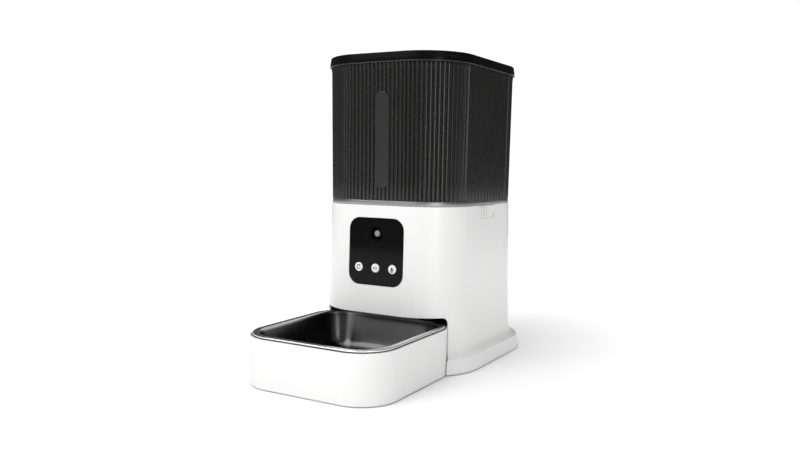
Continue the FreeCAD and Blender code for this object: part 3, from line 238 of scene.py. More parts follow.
# -------------------- mesh building
class Skin:
    """Collects vertices with known normals, then makes one mesh object of them."""

    def __init__(self):
        self.points, self.normals, self.faces, self.index = [], [], [], {}

    def vertex(self, point, normal):
        key = tuple(round(c * 2e6) for c in point)
        if key not in self.index:
            self.index[key] = len(self.points)
            self.points.append(Vector(point))
            self.normals.append(Vector(normal))
        return self.index[key]

    def face(self, corners):
        """Add a face, turned so that it faces the way its corners' normals do."""
        ring = [c for i, c in enumerate(corners) if c != corners[i - 1]]
        if len(set(ring)) < 3:
            return
        area = Vector()
        for a, b in zip(ring, ring[1:] + ring[:1]):
            area += (self.points[a] - self.points[ring[0]]).cross(
                self.points[b] - self.points[ring[0]])
        facing = sum((self.normals[c] for c in ring), Vector())
        self.faces.append(tuple(ring) if area.dot(facing) >= 0 else tuple(reversed(ring)))

    def rows(self, rows, closed=True):
        """Quads between rows of (point, normal) pairs."""
        numbers = [[self.vertex(*pair) for pair in row] for row in rows]
        for low, high in zip(numbers, numbers[1:]):
            for i in range(len(low) if closed else len(low) - 1):
                j = (i + 1) % len(low)
                self.face([low[i], low[j], high[j], high[i]])
        return numbers

    def sweep(self, surface, stations, caps=False, relief=None):
        """The whole profile carried round the whole outline, sunk where relief says."""
        places = [surface.outline.at(s) for s in stations]
        rows = []
        for out, z, no, nz, _ in surface.profile.samples:
            row = []
            for number, (point, side) in enumerate(places):
                spot = point + side * out
                spot.z = z
                normal = side * no + Vector((0, 0, nz))
                if relief:
                    sunk, slope = relief(number, out, z)
                    spot -= side * sunk
                    normal += Vector((-side.y, side.x, 0)) * (slope * max(no, 0.0))
                row.append((spot, normal.normalized()))
            rows.append(row)
        numbers = self.rows(rows)
        if caps:
            self.face(numbers[0])
            self.face(numbers[-1])

    def band(self, surface, loop, steps, toward, closed=True):
        """A strip that follows a loop: steps are (growth of the loop, depth, turn of normal)."""
        near, far = loop(0.0), loop(toward * 0.2 * MM)
        sides = [(surface.at(*b)[0] - surface.at(*a)[0]).normalized() for a, b in zip(near, far)]
        rows = []
        for grow, depth, turn in steps:
            row = []
            for (s, t), side in zip(loop(grow), sides):
                point, normal = surface.at(s, t, depth)
                tilt = normal * math.cos(turn) + side * math.sin(turn)
                row.append((point, tilt.normalized()))
            rows.append(row)
        return self.rows(rows, closed)

    def patch(self, surface, outer, holes=(), columns=(), levels=(), margin=1.1 * MM):
        """Triangles over the part of a surface inside outer and outside the holes."""
        loops = [outer, *holes]
        grid = np.array([(s, t) for s in columns for t in levels]).reshape(-1, 2)
        keep = inside(grid, outer)
        for hole in holes:
            keep &= ~inside(grid, hole)
        for loop in loops:
            keep &= clear_of(grid, loop, margin)
        spots, edges = [], []
        for loop in loops:
            first = len(spots)
            spots += loop
            edges += [(first + i, first + (i + 1) % len(loop)) for i in range(len(loop))]
        spots += [tuple(p) for p in grid[keep]]
        flat, _, triangles, _, _, _ = delaunay_2d_cdt([Vector(p) for p in spots], edges, [], 0,
                                                      1e-8, False)
        flat_points = np.array([tuple(p) for p in flat])
        centres = flat_points[np.array(triangles)].mean(axis=1)
        keep = inside(centres, outer)
        for hole in holes:
            keep &= ~inside(centres, hole)
        numbers = [self.vertex(*surface.at(p[0], p[1])) for p in flat_points]
        for tri, wanted in zip(triangles, keep):
            if wanted:
                self.face([numbers[i] for i in tri])

    def lathe(self, profile, centre, segments, caps):
        """A profile of (radius, distance ahead) samples turned about an axis along -Y."""
        rows = []
        for radius, ahead, nr, na, _ in profile.samples:
            row = []
            for i in range(segments):
                turn = 2 * math.pi * i / segments
                side = Vector((math.cos(turn), 0, math.sin(turn)))
                row.append((Vector(centre) + side * radius + Vector((0, -ahead, 0)),
                            (side * nr + Vector((0, -na, 0))).normalized()))
            rows.append(row)
        numbers = self.rows(rows)
        for wanted, ring in zip(caps, (numbers[0], numbers[-1])):
            if wanted:
                self.face(ring)

    def build(self, name, body, slot, replaced=(), material=None):
        mesh = bpy.data.meshes.new(name)
        mesh.from_pydata([tuple(p) for p in self.points], [], self.faces)
        for face in mesh.polygons:
            face.use_smooth = True
        mesh.normals_split_custom_set_from_vertices([tuple(n) for n in self.normals])
        placed(name, mesh, body, slot, replaced, material)


def placed(name, mesh, body, slot, replaced=(), material=None):
    """Link a mesh as a piece that rides on a body and takes a slot's finish."""
    obj = bpy.data.objects.new(name, mesh)
    bpy.context.scene.collection.objects.link(obj)
    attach(obj, body)
    if replaced:
        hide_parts(*replaced)
    mesh.materials.append(material or MATERIALS[slot])


def swept(name, outline, section, body, slot, replaced=(), material=None, caps=False):
    """A piece that is one section carried round an outline."""
    skin = Skin()
    skin.sweep(Surface(outline, section), outline.stations(), caps)
    skin.build(name, body, slot, replaced, material)


def lathed(name, section, centre, segments, body, slot, replaced=(), material=None,
           caps=(False, True)):
    """A piece that is one section turned about an axis along -Y."""
    skin = Skin()
    skin.lathe(section, centre, segments, caps)
    skin.build(name, body, slot, replaced, material)


def inside(points, loop):
    """Which points of an array lie inside a closed loop."""
    ring = np.array(loop)
    result = np.zeros(len(points), bool)
    x, y = points[:, 0], points[:, 1]
    for (x0, y0), (x1, y1) in zip(ring, np.roll(ring, -1, axis=0)):
        if y0 != y1:
            result ^= ((y0 > y) != (y1 > y)) & (x < (x1 - x0) * (y - y0) / (y1 - y0) + x0)
    return result


def clear_of(points, loop, margin):
    """Which points of an array keep a distance from every corner of a loop."""
    result = np.ones(len(points), bool)
    for spot in np.array(loop):
        result &= ((points - spot) ** 2).sum(axis=1) > margin ** 2
    return result


def lip(radius, toward, tail=0.0):
    """Steps that round an edge over and, with a tail, go on down its wall."""
    steps = []
    for i in range(LIP_STEPS + 1):
        turn = math.pi / 2 * i / LIP_STEPS
        steps.append((-toward * radius * (1 - math.sin(turn)), radius * (1 - math.cos(turn)),
                      turn))
    if tail:
        steps.append((-toward * 0.02 * MM, radius + tail, math.pi / 2))
    return steps


def rounded_loop(surface, centre, half_wide, half_tall, corner, grow, per_corner=10,
                 step=2.5 * MM, fit=None):
    """A rounded rectangle on a surface, in (s, t); centre is (s or x, z)."""
    wide, tall, radius = half_wide + grow, half_tall + grow, max(corner + grow, 0.05 * MM)
    flat_wide, flat_tall = wide - radius, tall - radius
    counts = (max(1, math.ceil(2 * (half_wide - corner) / step)),
              max(1, math.ceil(2 * (half_tall - corner) / step)))
    points = []
    quarters = ((1, -1, -90), (1, 1, 0), (-1, 1, 90), (-1, -1, 180))
    for number, (sx, sz, first) in enumerate(quarters):
        for i in range(per_corner + 1):
            turn = math.radians(first + 90 * i / per_corner)
            points.append((sx * flat_wide + radius * math.cos(turn),
                           sz * flat_tall + radius * math.sin(turn)))
        nx, nz, turn = quarters[(number + 1) % 4]
        start = points[-1]
        end = (nx * flat_wide + radius * math.cos(math.radians(turn)),
               nz * flat_tall + radius * math.sin(math.radians(turn)))
        count = counts[(number + 1) % 2]
        points += [(start[0] + (end[0] - start[0]) * i / count,
                    start[1] + (end[1] - start[1]) * i / count) for i in range(1, count)]
    result = []
    for x, z in points:
        t = surface.profile.where(centre[1] + z)
        out = surface.profile.at(t)[0]
        result.append((fit(centre[0] + x, out) if fit else centre[0] + x, t))
    return result


# what counts as a CAD node's outer skin: a face this near and this square to it, and a point
# this near, which is then pulled back
SKIN_NEAR = 0.12 * MM
SKIN_FACING = 0.6
CUT_NEAR = 0.08 * MM
SHARP_DEGREES = 32


def core(name, node, outline, section, radius_of, body, slot):
    """The inside of a CAD node: its outer skin is left out and the cut edges pulled back."""
    source = frame["nodes"][node].data
    points = np.array([v.co for v in source.vertices])
    triangles = np.array([p.vertices[:] for p in source.polygons])
    line = np.array([s[:2] for s in section.samples])

    def near(spots):
        """Distances of an array of points from the outer skin, and the skin's normals there."""
        out, side = outline.offsets(spots)
        flat = np.stack([out, spots[:, 2]], axis=1)
        best = np.full(len(spots), 1e9)
        normal = np.zeros((len(spots), 3))
        for a, b in zip(line, line[1:]):
            run = b - a
            share = np.clip(((flat - a) @ run) / (run @ run), 0, 1)
            gap = np.linalg.norm(flat - (a + share[:, None] * run), axis=1)
            closer = gap < best
            best = np.where(closer, gap, best)
            facing = np.array([run[1], -run[0]]) / np.linalg.norm(run)
            full = np.concatenate([side * facing[0], np.full((len(spots), 1), facing[1])], axis=1)
            normal[closer] = full[closer]
        return best, normal

    corners = points[triangles]
    turned = np.cross(corners[:, 1] - corners[:, 0], corners[:, 2] - corners[:, 0])
    turned /= np.maximum(np.linalg.norm(turned, axis=1), 1e-20)[:, None]
    gap, facing = near(corners.mean(axis=1))
    skin = (gap < SKIN_NEAR) & ((turned * facing).sum(axis=1) > SKIN_FACING)
    gap, facing = near(points)
    pull = np.where(gap < CUT_NEAR, np.array([radius_of(p) for p in points]), 0.0)
    points = points - facing * pull[:, None]
    mesh = bpy.data.meshes.new(name)
    mesh.from_pydata(points.tolist(), [], triangles[~skin].tolist())
    tidy = bmesh.new()
    tidy.from_mesh(mesh)
    bmesh.ops.remove_doubles(tidy, verts=tidy.verts, dist=2e-6)
    bmesh.ops.delete(tidy, geom=[v for v in tidy.verts if not v.link_faces], context="VERTS")
    tidy.to_mesh(mesh)
    tidy.free()
    for face in mesh.polygons:
        face.use_smooth = True
    mesh.set_sharp_from_angle(angle=math.radians(SHARP_DEGREES))
    placed(name, mesh, body, slot, [node])


# -------------------- materials
class Nodes:
    """Short forms for building a node tree round one Principled shader."""

    def __init__(self, name):
        self.material = bpy.data.materials.new(name)
        self.material.use_nodes = True
        self.tree = self.material.node_tree
        self.shader = self.tree.nodes["Principled BSDF"]

    def link(self, source, target):
        self.tree.links.new(source, target)

    def feed(self, socket, source):
        self.link(source, self.shader.inputs[socket])

    def set(self, **values):
        for socket, value in values.items():
            self.shader.inputs[socket.replace("_", " ")].default_value = value

    def noise(self, scale, detail=3.0, rough=0.5, stretch=None):
        texture = self.tree.nodes.new("ShaderNodeTexNoise")
        texture.inputs["Scale"].default_value = scale
        texture.inputs["Detail"].default_value = detail
        texture.inputs["Roughness"].default_value = rough
        source = self.tree.nodes.new("ShaderNodeTexCoord").outputs["Object"]
        if stretch:
            mapping = self.tree.nodes.new("ShaderNodeMapping")
            mapping.inputs["Scale"].default_value = stretch
            self.link(source, mapping.inputs["Vector"])
            source = mapping.outputs["Vector"]
        self.link(source, texture.inputs["Vector"])
        return texture.outputs["Fac"]

    def ramp(self, source, low, high, start=0.3, end=0.7):
        """Map a factor to a value or colour between low and high."""
        node = self.tree.nodes.new("ShaderNodeValToRGB")
        first, last = node.color_ramp.elements
        first.position, last.position = start, end
        first.color = low if isinstance(low, tuple) else (low, low, low, 1)
        last.color = high if isinstance(high, tuple) else (high, high, high, 1)
        self.link(source, node.inputs["Fac"])
        return node.outputs["Color"]

    def bump(self, source, strength, distance):
        node = self.tree.nodes.new("ShaderNodeBump")
        node.inputs["Strength"].default_value = strength
        node.inputs["Distance"].default_value = distance
        self.link(source, node.inputs["Height"])
        return node.outputs["Normal"]


def shades(colour, spread):
    """A darker and a lighter shade of a colour, as the two ends of a ramp."""
    return (tuple(c * (1 - spread) for c in colour) + (1,),
            tuple(min(1.0, c * (1 + spread)) for c in colour) + (1,))


def plastic(name, colour, rough=(0.25, 0.35), grain=900.0, grain_bump=0.08, spread=0.04,
            specular=0.5):
    """Moulded plastic: fine grain, slow change of colour, faint handling marks in the gloss."""
    mat = Nodes(name)
    mat.feed("Base Color", mat.ramp(mat.noise(9.0, 2.0), *shades(colour, spread)))
    mat.feed("Roughness", mat.ramp(mat.noise(30.0, 5.0, 0.62), *rough))
    mat.feed("Normal", mat.bump(mat.noise(grain, 2.0), grain_bump, 0.03 * MM))
    mat.set(Specular_IOR_Level=specular)
    return mat.material


def brushed(name, colour, stretch, rough=(0.22, 0.42), lines=900.0, strength=0.25, spread=0.12):
    """Brushed or turned metal with lines along the axes that are stretched least."""
    mat = Nodes(name)
    fine = mat.noise(lines, 4.0, 0.6, stretch)
    mat.feed("Base Color", mat.ramp(fine, *shades(colour, spread)))
    mat.feed("Roughness", mat.ramp(mat.noise(30.0, 4.0, 0.6), *rough))
    mat.feed("Normal", mat.bump(fine, strength, 0.02 * MM))
    mat.set(Metallic=1.0)
    return mat.material


def bowl_steel_painted_light():
    """Satin pressed steel; its colour is painted dark inside the bowl as shade and dark
    reflections, and painted bright on the rolled rim as a highlight.
    """
    mat = Nodes("stainless")
    place = mat.tree.nodes.new("ShaderNodeTexCoord")
    height = mat.tree.nodes.new("ShaderNodeSeparateXYZ")
    mat.link(place.outputs["Object"], height.inputs["Vector"])
    painted_light_height = mat.tree.nodes.new("ShaderNodeMapRange")
    mat.link(height.outputs["Z"], painted_light_height.inputs["Value"])
    painted_light_height.inputs["From Min"].default_value = HOLDER_HIGH.z - 1.5 * MM
    painted_light_height.inputs["From Max"].default_value = HOLDER_HIGH.z + 1.2 * MM
    # painted shade and highlight: dark below the holder's top, standing in for the bowl's dark
    # reflections, and bright on the rim as a painted highlight
    mat.feed("Base Color", mat.ramp(painted_light_height.outputs["Result"], (0.11, 0.11, 0.11, 1),
                                    (0.80, 0.80, 0.81, 1), 0, 1))
    mat.feed("Roughness", mat.ramp(mat.noise(22.0, 4.0, 0.55), 0.20, 0.28))
    mat.feed("Normal", mat.bump(mat.noise(300.0, 2.0), 0.01, 0.02 * MM))
    mat.set(Metallic=1.0)
    return mat.material


MATERIALS = {
    "white_shell": plastic("white_abs", (0.80, 0.80, 0.795), (0.30, 0.34), 260, 0.004, 0.006),
    "white_holder": plastic("white_abs_holder", (0.80, 0.80, 0.795), (0.30, 0.34), 260, 0.004,
                            0.006),
    "hopper_black": plastic("hopper_abs", (0.009, 0.009, 0.0085), (0.24, 0.30), 500, 0.01, 0.10,
                            specular=0.42),
    "lid_black": plastic("lid_abs", (0.0030, 0.0030, 0.0030), (0.22, 0.30), 500, 0.02, 0.08,
                         specular=0.07),
    "inner_black": plastic("inner_abs", (0.008, 0.008, 0.009), (0.45, 0.60), 700, 0.25, 0.10,
                           specular=0.3),
    "panel_gloss": plastic("piano_black", (0.0045, 0.0045, 0.0045), (0.05, 0.10), 300, 0.01, 0.05,
                           specular=0.08),
    "smoked_pane": plastic("smoked_pane", (0.018, 0.018, 0.0175), (0.22, 0.28), 300, 0.005, 0.06),
    "button_white": plastic("key_white", (0.82, 0.82, 0.81), (0.30, 0.36), 400, 0.01, 0.01),
    "trim_metal": brushed("trim_metal", (0.30, 0.305, 0.302), (0.02, 0.02, 6), (0.36, 0.42), 300,
                          0.12, 0.12),
    "stainless": bowl_steel_painted_light(),
    "lens_glass": plastic("lens_glass", (0.003, 0.003, 0.005), (0.02, 0.05), 200, 0.0, 0.05),
    "rubber_dark": plastic("rubber", (0.03, 0.03, 0.03), (0.65, 0.85), 1600, 0.5, 0.15),
    "silicone_white": plastic("silicone", (0.72, 0.72, 0.70), (0.45, 0.60), 900, 0.2, 0.03),
    "grey_plastic": plastic("grey_abs", (0.15, 0.155, 0.16), (0.45, 0.60), 800, 0.25, 0.05),
    "clear_white": plastic("acetal", (0.72, 0.72, 0.70), (0.35, 0.48), 1000, 0.12, 0.02),
    "circuit_green": plastic("solder_mask", (0.01, 0.07, 0.03), (0.25, 0.45), 600, 0.1, 0.25),
    "fastener_steel": brushed("plated_steel", (0.45, 0.45, 0.47), (1, 1, 8), (0.25, 0.45), 600),
    "pinion_brass": brushed("turned_brass", (0.60, 0.42, 0.16), (1, 1, 12), (0.22, 0.38), 700),
    "sachet_paper": plastic("sachet", (0.75, 0.74, 0.70), (0.75, 0.9), 500, 0.8, 0.06),
}
ICON_INK = plastic("icon_ink", (0.012, 0.012, 0.013), (0.4, 0.5), 1200, 0.05, 0.1, specular=0.2)
# painted highlight: a pale pinkish disc inside the lens standing in for the lens's reflection of
# the studio light
LENS_PAINTED_HIGHLIGHT = plastic("lens_painted_highlight", (0.36, 0.30, 0.32), (0.2, 0.3), 900, 0.02, 0.25)
LENS_BLACK = plastic("lens_black", (0.0012, 0.0012, 0.0012), (0.4, 0.5), 700, 0.05, 0.1,
                     specular=0.05)
# painted highlight: the lid's lower lip is a lighter black than the lid, standing in for the
# highlight along that edge
LID_EDGE_PAINTED_HIGHLIGHT = plastic("lid_edge_painted_highlight", (0.022, 0.022, 0.021), (0.25, 0.32), 500, 0.02, 0.08)
GRIP_GREY = plastic("grip_grey", (0.60, 0.60, 0.60), (0.35, 0.45), 400, 0.02, 0.02)


def dress(obj, material):
    """Assign one material to every slot of an object."""
    if not obj.material_slots:
        obj.data.materials.append(material)
    for slot in obj.material_slots:
        slot.material = material


for row in frame["record"]["subparts"]:
    dress(frame["nodes"][row["node"]], MATERIALS[row["material_slot"]])


# -------------------- housing
BODY = plan(RING_LOW, RING_HIGH, 53.0 * MM, 0.6 * MM)


def housing_section(bottom, ridge, top, inset=2.2 * MM):
    return Profile([(FLOOR_OUT - inset, HOUSING_LOW.z, 0), (FLOOR_OUT, HOUSING_LOW.z, bottom),
                    (RIDGE_OUT, RIDGE_Z, ridge), (FLARE, RIDGE_Z, BLEND), (0.0, BODY_TOP, top),
                    (-inset, BODY_TOP, 0)])


HOUSING = Surface(BODY, housing_section(EDGE, 0.5 * MM, EDGE))
HOLDER = plan(HOLDER_LOW, HOLDER_HIGH, 38.2 * MM, 0.0, (HOLDER_HIGH.y + HOLDER_LOW.y) / 2)


def holder_reaches(t, gap):
    """Where along the skin, at run length t, the holder's outline grown by gap ends."""
    low, high = 0.0, BODY.flat_w + BODY.runs[1]
    for _ in range(30):
        middle = (low + high) / 2
        point = np.array([HOUSING.at(middle, t)[0]])
        if HOLDER.offsets(point)[0][0] < gap:
            low = middle
        else:
            high = middle
    return low


def dock_loop(grow):
    """Edge of the opening for the bowl holder, from its left foot round to its right foot."""
    radius = DOCK_ROUND + grow
    middle_z = DOCK_TOP + grow - radius
    right = []
    for _, z, _, _, t in HOUSING.profile.samples:
        if z < middle_z - MM:
            right.append((holder_reaches(t, DOCK_GAP + grow), t))
    for i in range(11):
        turn = math.pi / 2 * i / 10
        t = HOUSING.profile.where(middle_z + radius * math.sin(turn))
        inset = radius * (1 - math.cos(turn))
        right.append((holder_reaches(t, DOCK_GAP + grow - inset), t))
    edge_s, top_t = right[-1]
    right += [(edge_s * (1 - i / 30), top_t) for i in range(1, 31)]
    left = [(-s, t) for s, t in right]
    return left[:-1] + right[::-1]


def panel_loop(grow):
    wide = (PANEL_HIGH.x - PANEL_LOW.x) / 2 + 0.15 * MM
    tall = (PANEL_HIGH.z - PANEL_LOW.z) / 2 + 0.15 * MM
    return rounded_loop(HOUSING, (0.0, (PANEL_LOW.z + PANEL_HIGH.z) / 2), wide, tall, 13 * MM,
                        grow, fit=BODY.across)


def recess_loop(side):
    """Thumb recess of a hopper lock, on the right (1) or left (-1) wall."""
    low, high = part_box("lock_slider_right")
    middle = BODY.flat_w + BODY.runs[1] + BODY.flat_d - 1.5 * MM

    def loop(grow):
        return rounded_loop(HOUSING, (side * middle, (low.z + high.z) / 2), 22.5 * MM, 6.2 * MM,
                            6.19 * MM, grow)
    return loop


def inlet_loop(grow):
    low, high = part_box("inlet_bezel")
    middle_z = (low.z + high.z) / 2
    out = HOUSING.profile.at(HOUSING.profile.where(middle_z))[0]
    centre = BODY.across(-(low.x + high.x) / 2, out) - BODY.length / 2
    return rounded_loop(HOUSING, (centre, middle_z), 6.0 * MM, 3.0 * MM, 0.4 * MM, grow,
                        per_corner=3)


def housing():
    skin = Skin()
    half = BODY.length / 2
    stations = sorted((s + half) % BODY.length - half for s in BODY.stations(34, 7 * MM))
    columns = [-half] + [s for s in stations if s > -half + 1e-6] + [half]
    levels = [sample[4] for sample in HOUSING.profile.samples]
    dock = dock_loop(EDGE)
    outer = [(s, 0.0) for s in columns if s < dock[0][0] - MM] + dock
    outer += [(s, 0.0) for s in columns if s > dock[-1][0] + MM]
    outer += [(half, t) for t in levels[1:-1]]
    outer += [(s, levels[-1]) for s in reversed(columns)]
    outer += [(-half, t) for t in reversed(levels[1:-1])]
    small = [panel_loop, recess_loop(1), recess_loop(-1), inlet_loop]
    skin.patch(HOUSING, outer, [loop(FINE_EDGE) for loop in small], columns[1:-1], levels[1:-1],
               margin=0.12 * MM)
    skin.band(HOUSING, dock_loop, lip(EDGE, -1, 0.6 * MM), -1, closed=False)
    for loop in small:
        skin.band(HOUSING, loop, lip(FINE_EDGE, -1, 0.3 * MM), -1)
    skin.build("housing_shell", "base", "white_shell", ["main_housing"])

    def radius_of(point):
        upper = RIDGE_Z < point[2] < BODY_TOP - 0.2 * MM
        fine = upper and (point[2] > 62 * MM or point[1] > BODY_Y)
        return FINE_EDGE if fine else EDGE

    core("housing_inside", "main_housing", BODY, housing_section(0, 0, 0, 0.01 * MM), radius_of,
         "base", "white_shell")


def trim_ring():
    ring = plan(RING_LOW, RING_HIGH, 52.4 * MM)
    low, high = RING_LOW.z, RING_HIGH.z
    section = Profile([(-3 * MM, low, 0), (-0.25 * MM, low, 0.45 * MM),
                       (0.1 * MM, (low + high) / 2, 9 * MM), (-0.25 * MM, high, 0.45 * MM),
                       (-6 * MM, high, 0.3 * MM), (-6 * MM, low, 0.3 * MM), (-3 * MM, low, 0)])
    swept("trim_band", ring, section, "base", "trim_metal", ["trim_ring"])


# -------------------- hopper and lid
TANK_SPREAD = 1.9 * MM
TANK = plan(TANK_LOW, TANK_HIGH, 52.6 * MM, -TANK_SPREAD)
TANK_WALL = 3.4 * MM
COLLAR = 5.6 * MM
RIBS_FRONT, RIBS_CORNER, RIBS_SIDE = 6, 16, 6
CORNER_EVEN = 0.87            # share of a corner's spacing that is even; the rest widens
GROOVE = 0.29                 # half width of a groove as a share of the pitch
GROOVE_DEEP = 1.8 * MM
SIDE_DEEP = 1.55 * MM
CROWN = 0.14 * MM             # how far a crest falls away to its edges


def groove_places():
    """Distances of the grooves along the tank, from the middle of its front."""
    bend = TANK.runs[1]
    places = [TANK.flat_w * i / RIBS_FRONT for i in range(RIBS_FRONT)]
    for i in range(RIBS_CORNER):
        share = i / RIBS_CORNER
        places.append(TANK.flat_w + bend * (CORNER_EVEN * share
                                            + (1 - CORNER_EVEN) * share ** 4))
    places += [TANK.flat_w + bend + TANK.flat_d * i / RIBS_SIDE for i in range(RIBS_SIDE + 1)]
    half = 2 * places[-1]
    places += [half - place for place in reversed(places[:-1])]
    return places[:-1] + [half + place for place in places]


def reeded():
    """Stations round the tank, each with the depth of the reeds there and its slope."""
    shares = (0.0, 0.06, 0.12, 0.18, 0.24, 0.29, 0.39, 0.5, 0.61, 0.71, 0.76, 0.82, 0.88, 0.94)
    result = []
    grooves = groove_places()
    side_pitch = TANK.flat_d / RIBS_SIDE
    for groove, after in zip(grooves, grooves[1:]):
        pitch = after - groove
        deep = (SIDE_DEEP if pitch > side_pitch - 0.01 * MM else GROOVE_DEEP) - CROWN
        for share in shares:
            edge = min(share, 1 - share)
            if edge < GROOVE:
                turn = math.pi * edge / GROOVE
                sunk = CROWN + deep * 0.5 * (1 + math.cos(turn))
                rate = -deep * 0.5 * math.sin(turn) * math.pi / GROOVE
            else:
                rise = (edge - GROOVE) / (0.5 - GROOVE)
                sunk = CROWN * (1 - rise) ** 2
                rate = -2 * CROWN * (1 - rise) / (0.5 - GROOVE)
            slope = rate * (1 if share < 0.5 else -1) / pitch
            result.append((groove + share * pitch, sunk, slope))
    return result


def tank():
    low, high = TANK_LOW.z, TANK_HIGH.z
    collar_low = high - COLLAR
    below = TANK_SPREAD * (collar_low - low) / (high - low)
    section = Profile([(-TANK_WALL, low + 1.2 * MM, 0), (-TANK_WALL, low, 0.3 * MM),
                       (0, low, 0.5 * MM), (below, collar_low, 0.5 * MM),
                       (below + 0.35 * MM, collar_low + 2.4 * MM, 1.0 * MM),
                       (TANK_SPREAD + 0.35 * MM, high, 0.5 * MM),
                       (TANK_SPREAD - TANK_WALL, high, 0.5 * MM),
                       (-TANK_WALL, low + 1.2 * MM, 0)], step=20 * MM, bend=22)
    reeds = reeded()

    def relief(number, out, z):
        lean = TANK_SPREAD * (z - low) / (high - low)
        return reeds[number][1:] if out > lean - 1.0 * MM else (0.0, 0.0)

    skin = Skin()
    skin.sweep(Surface(TANK, section), [reed[0] for reed in reeds], relief=relief)
    skin.build("reeded_tank", "hopper", "hopper_black", ["hopper_tank"])


def window():
    low, high = TANK_LOW.z, TANK_HIGH.z
    wall = Surface(TANK, Profile([(0, low, 0), (TANK_SPREAD, high, 0)], step=400 * MM))
    centre = ((WINDOW_LOW.x + WINDOW_HIGH.x) / 2, (WINDOW_LOW.z + WINDOW_HIGH.z) / 2)
    half_wide = (WINDOW_HIGH.x - WINDOW_LOW.x) / 2
    half_tall = (WINDOW_HIGH.z - WINDOW_LOW.z) / 2

    def loop(grow):
        return rounded_loop(wall, centre, half_wide, half_tall, half_wide - 0.01 * MM, grow,
                            per_corner=14, step=8 * MM)

    skin = Skin()
    rise = 0.2 * MM
    steps = [(grow, depth - rise, turn) for grow, depth, turn in lip(0.45 * MM, 1)]
    steps += [(0.0, TANK_WALL - 0.3 * MM, math.pi / 2),
              (-0.3 * MM, TANK_WALL + 0.15 * MM, math.pi * 0.75),
              (-0.5 * MM, TANK_WALL + 0.2 * MM, math.pi)]
    numbers = skin.band(wall, loop, steps, 1)
    skin.face(numbers[0])
    skin.face(numbers[-1])
    skin.build("level_pane", "hopper", "smoked_pane", ["view_window"])


def lid():
    low, high = LID_LOW.z, LID_HIGH.z
    outline = plan(LID_LOW, LID_HIGH, 56.8 * MM)
    under = high - 2.4 * MM
    lip_top = low + 1.0 * MM
    section = Profile([(-25 * MM, under, 0), (-2.5 * MM, under, 0.6 * MM),
                       (-2.5 * MM, lip_top, 0), (-0.45 * MM, lip_top, 0.15 * MM),
                       (-0.45 * MM, low + 5.4 * MM, 0.15 * MM),
                       (-1.0 * MM, low + 5.9 * MM, 0.2 * MM), (-1.0 * MM, high, 2.0 * MM),
                       (-12 * MM, high, 1.2 * MM), (-14 * MM, high - 0.8 * MM, 1.2 * MM),
                       (-25 * MM, high - 0.8 * MM, 0)])
    swept("lid_cap", outline, section, "lid", "lid_black", ["lid_shell"], caps=True)
    edge = Profile([(-1.2 * MM, low, 0), (0, low, 0.4 * MM), (0, lip_top, 0.35 * MM),
                    (-2.5 * MM, lip_top, 0.1 * MM), (-2.5 * MM, low, 0.1 * MM),
                    (-1.2 * MM, low, 0)])
    # the lip's lighter colour is a painted highlight along the lid's lower edge
    swept("lid_edge_painted_highlight", outline, edge, "lid", "lid_black", material=LID_EDGE_PAINTED_HIGHLIGHT)


# -------------------- panel, camera and keys
KEYS = ("left", "middle", "right")


def round_loop(x, z, radius, segments=40):
    """A circle on the front wall, in (s, t)."""
    def loop(grow):
        points = []
        for i in range(segments):
            turn = 2 * math.pi * i / segments
            t = HOUSING.profile.where(z + (radius + grow) * math.sin(turn))
            points.append((x + (radius + grow) * math.cos(turn), t))
        return points
    return loop


def key_middle(word):
    low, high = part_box("button_" + word)
    return (low + high) / 2, low.y


def panel():
    skin = Skin()

    def edge(grow):
        return panel_loop(grow - 0.25 * MM)

    lens_radius = (BARREL_HIGH.x - BARREL_LOW.x) / 2 + 0.05 * MM
    holes = [round_loop(0.0, (BARREL_LOW.z + BARREL_HIGH.z) / 2, lens_radius)]
    for word in KEYS:
        middle, _ = key_middle(word)
        holes.append(round_loop(middle.x, middle.z, 5.05 * MM, 32))
    voice_low, voice_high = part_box("microphone")
    voice = round_loop((voice_low.x + voice_high.x) / 2, (voice_low.z + voice_high.z) / 2,
                       0.6 * MM, 16)
    columns = np.linspace(-32, 32, 17) * MM
    levels = [HOUSING.profile.where(z) for z in np.linspace(PANEL_LOW.z, PANEL_HIGH.z, 15)]
    rim, hole_rim, voice_rim = 0.45 * MM, 0.35 * MM, 0.15 * MM
    skin.patch(HOUSING, edge(-rim), [hole(hole_rim) for hole in holes] + [voice(voice_rim)],
               columns, levels)
    skin.band(HOUSING, edge, lip(rim, 1, 1.6 * MM), 1)
    for hole in holes:
        skin.band(HOUSING, hole, lip(hole_rim, -1, 1.6 * MM), -1)
    skin.band(HOUSING, voice, lip(voice_rim, -1, 1.6 * MM), -1)
    skin.build("panel_face", "base", "panel_gloss", ["control_panel"])


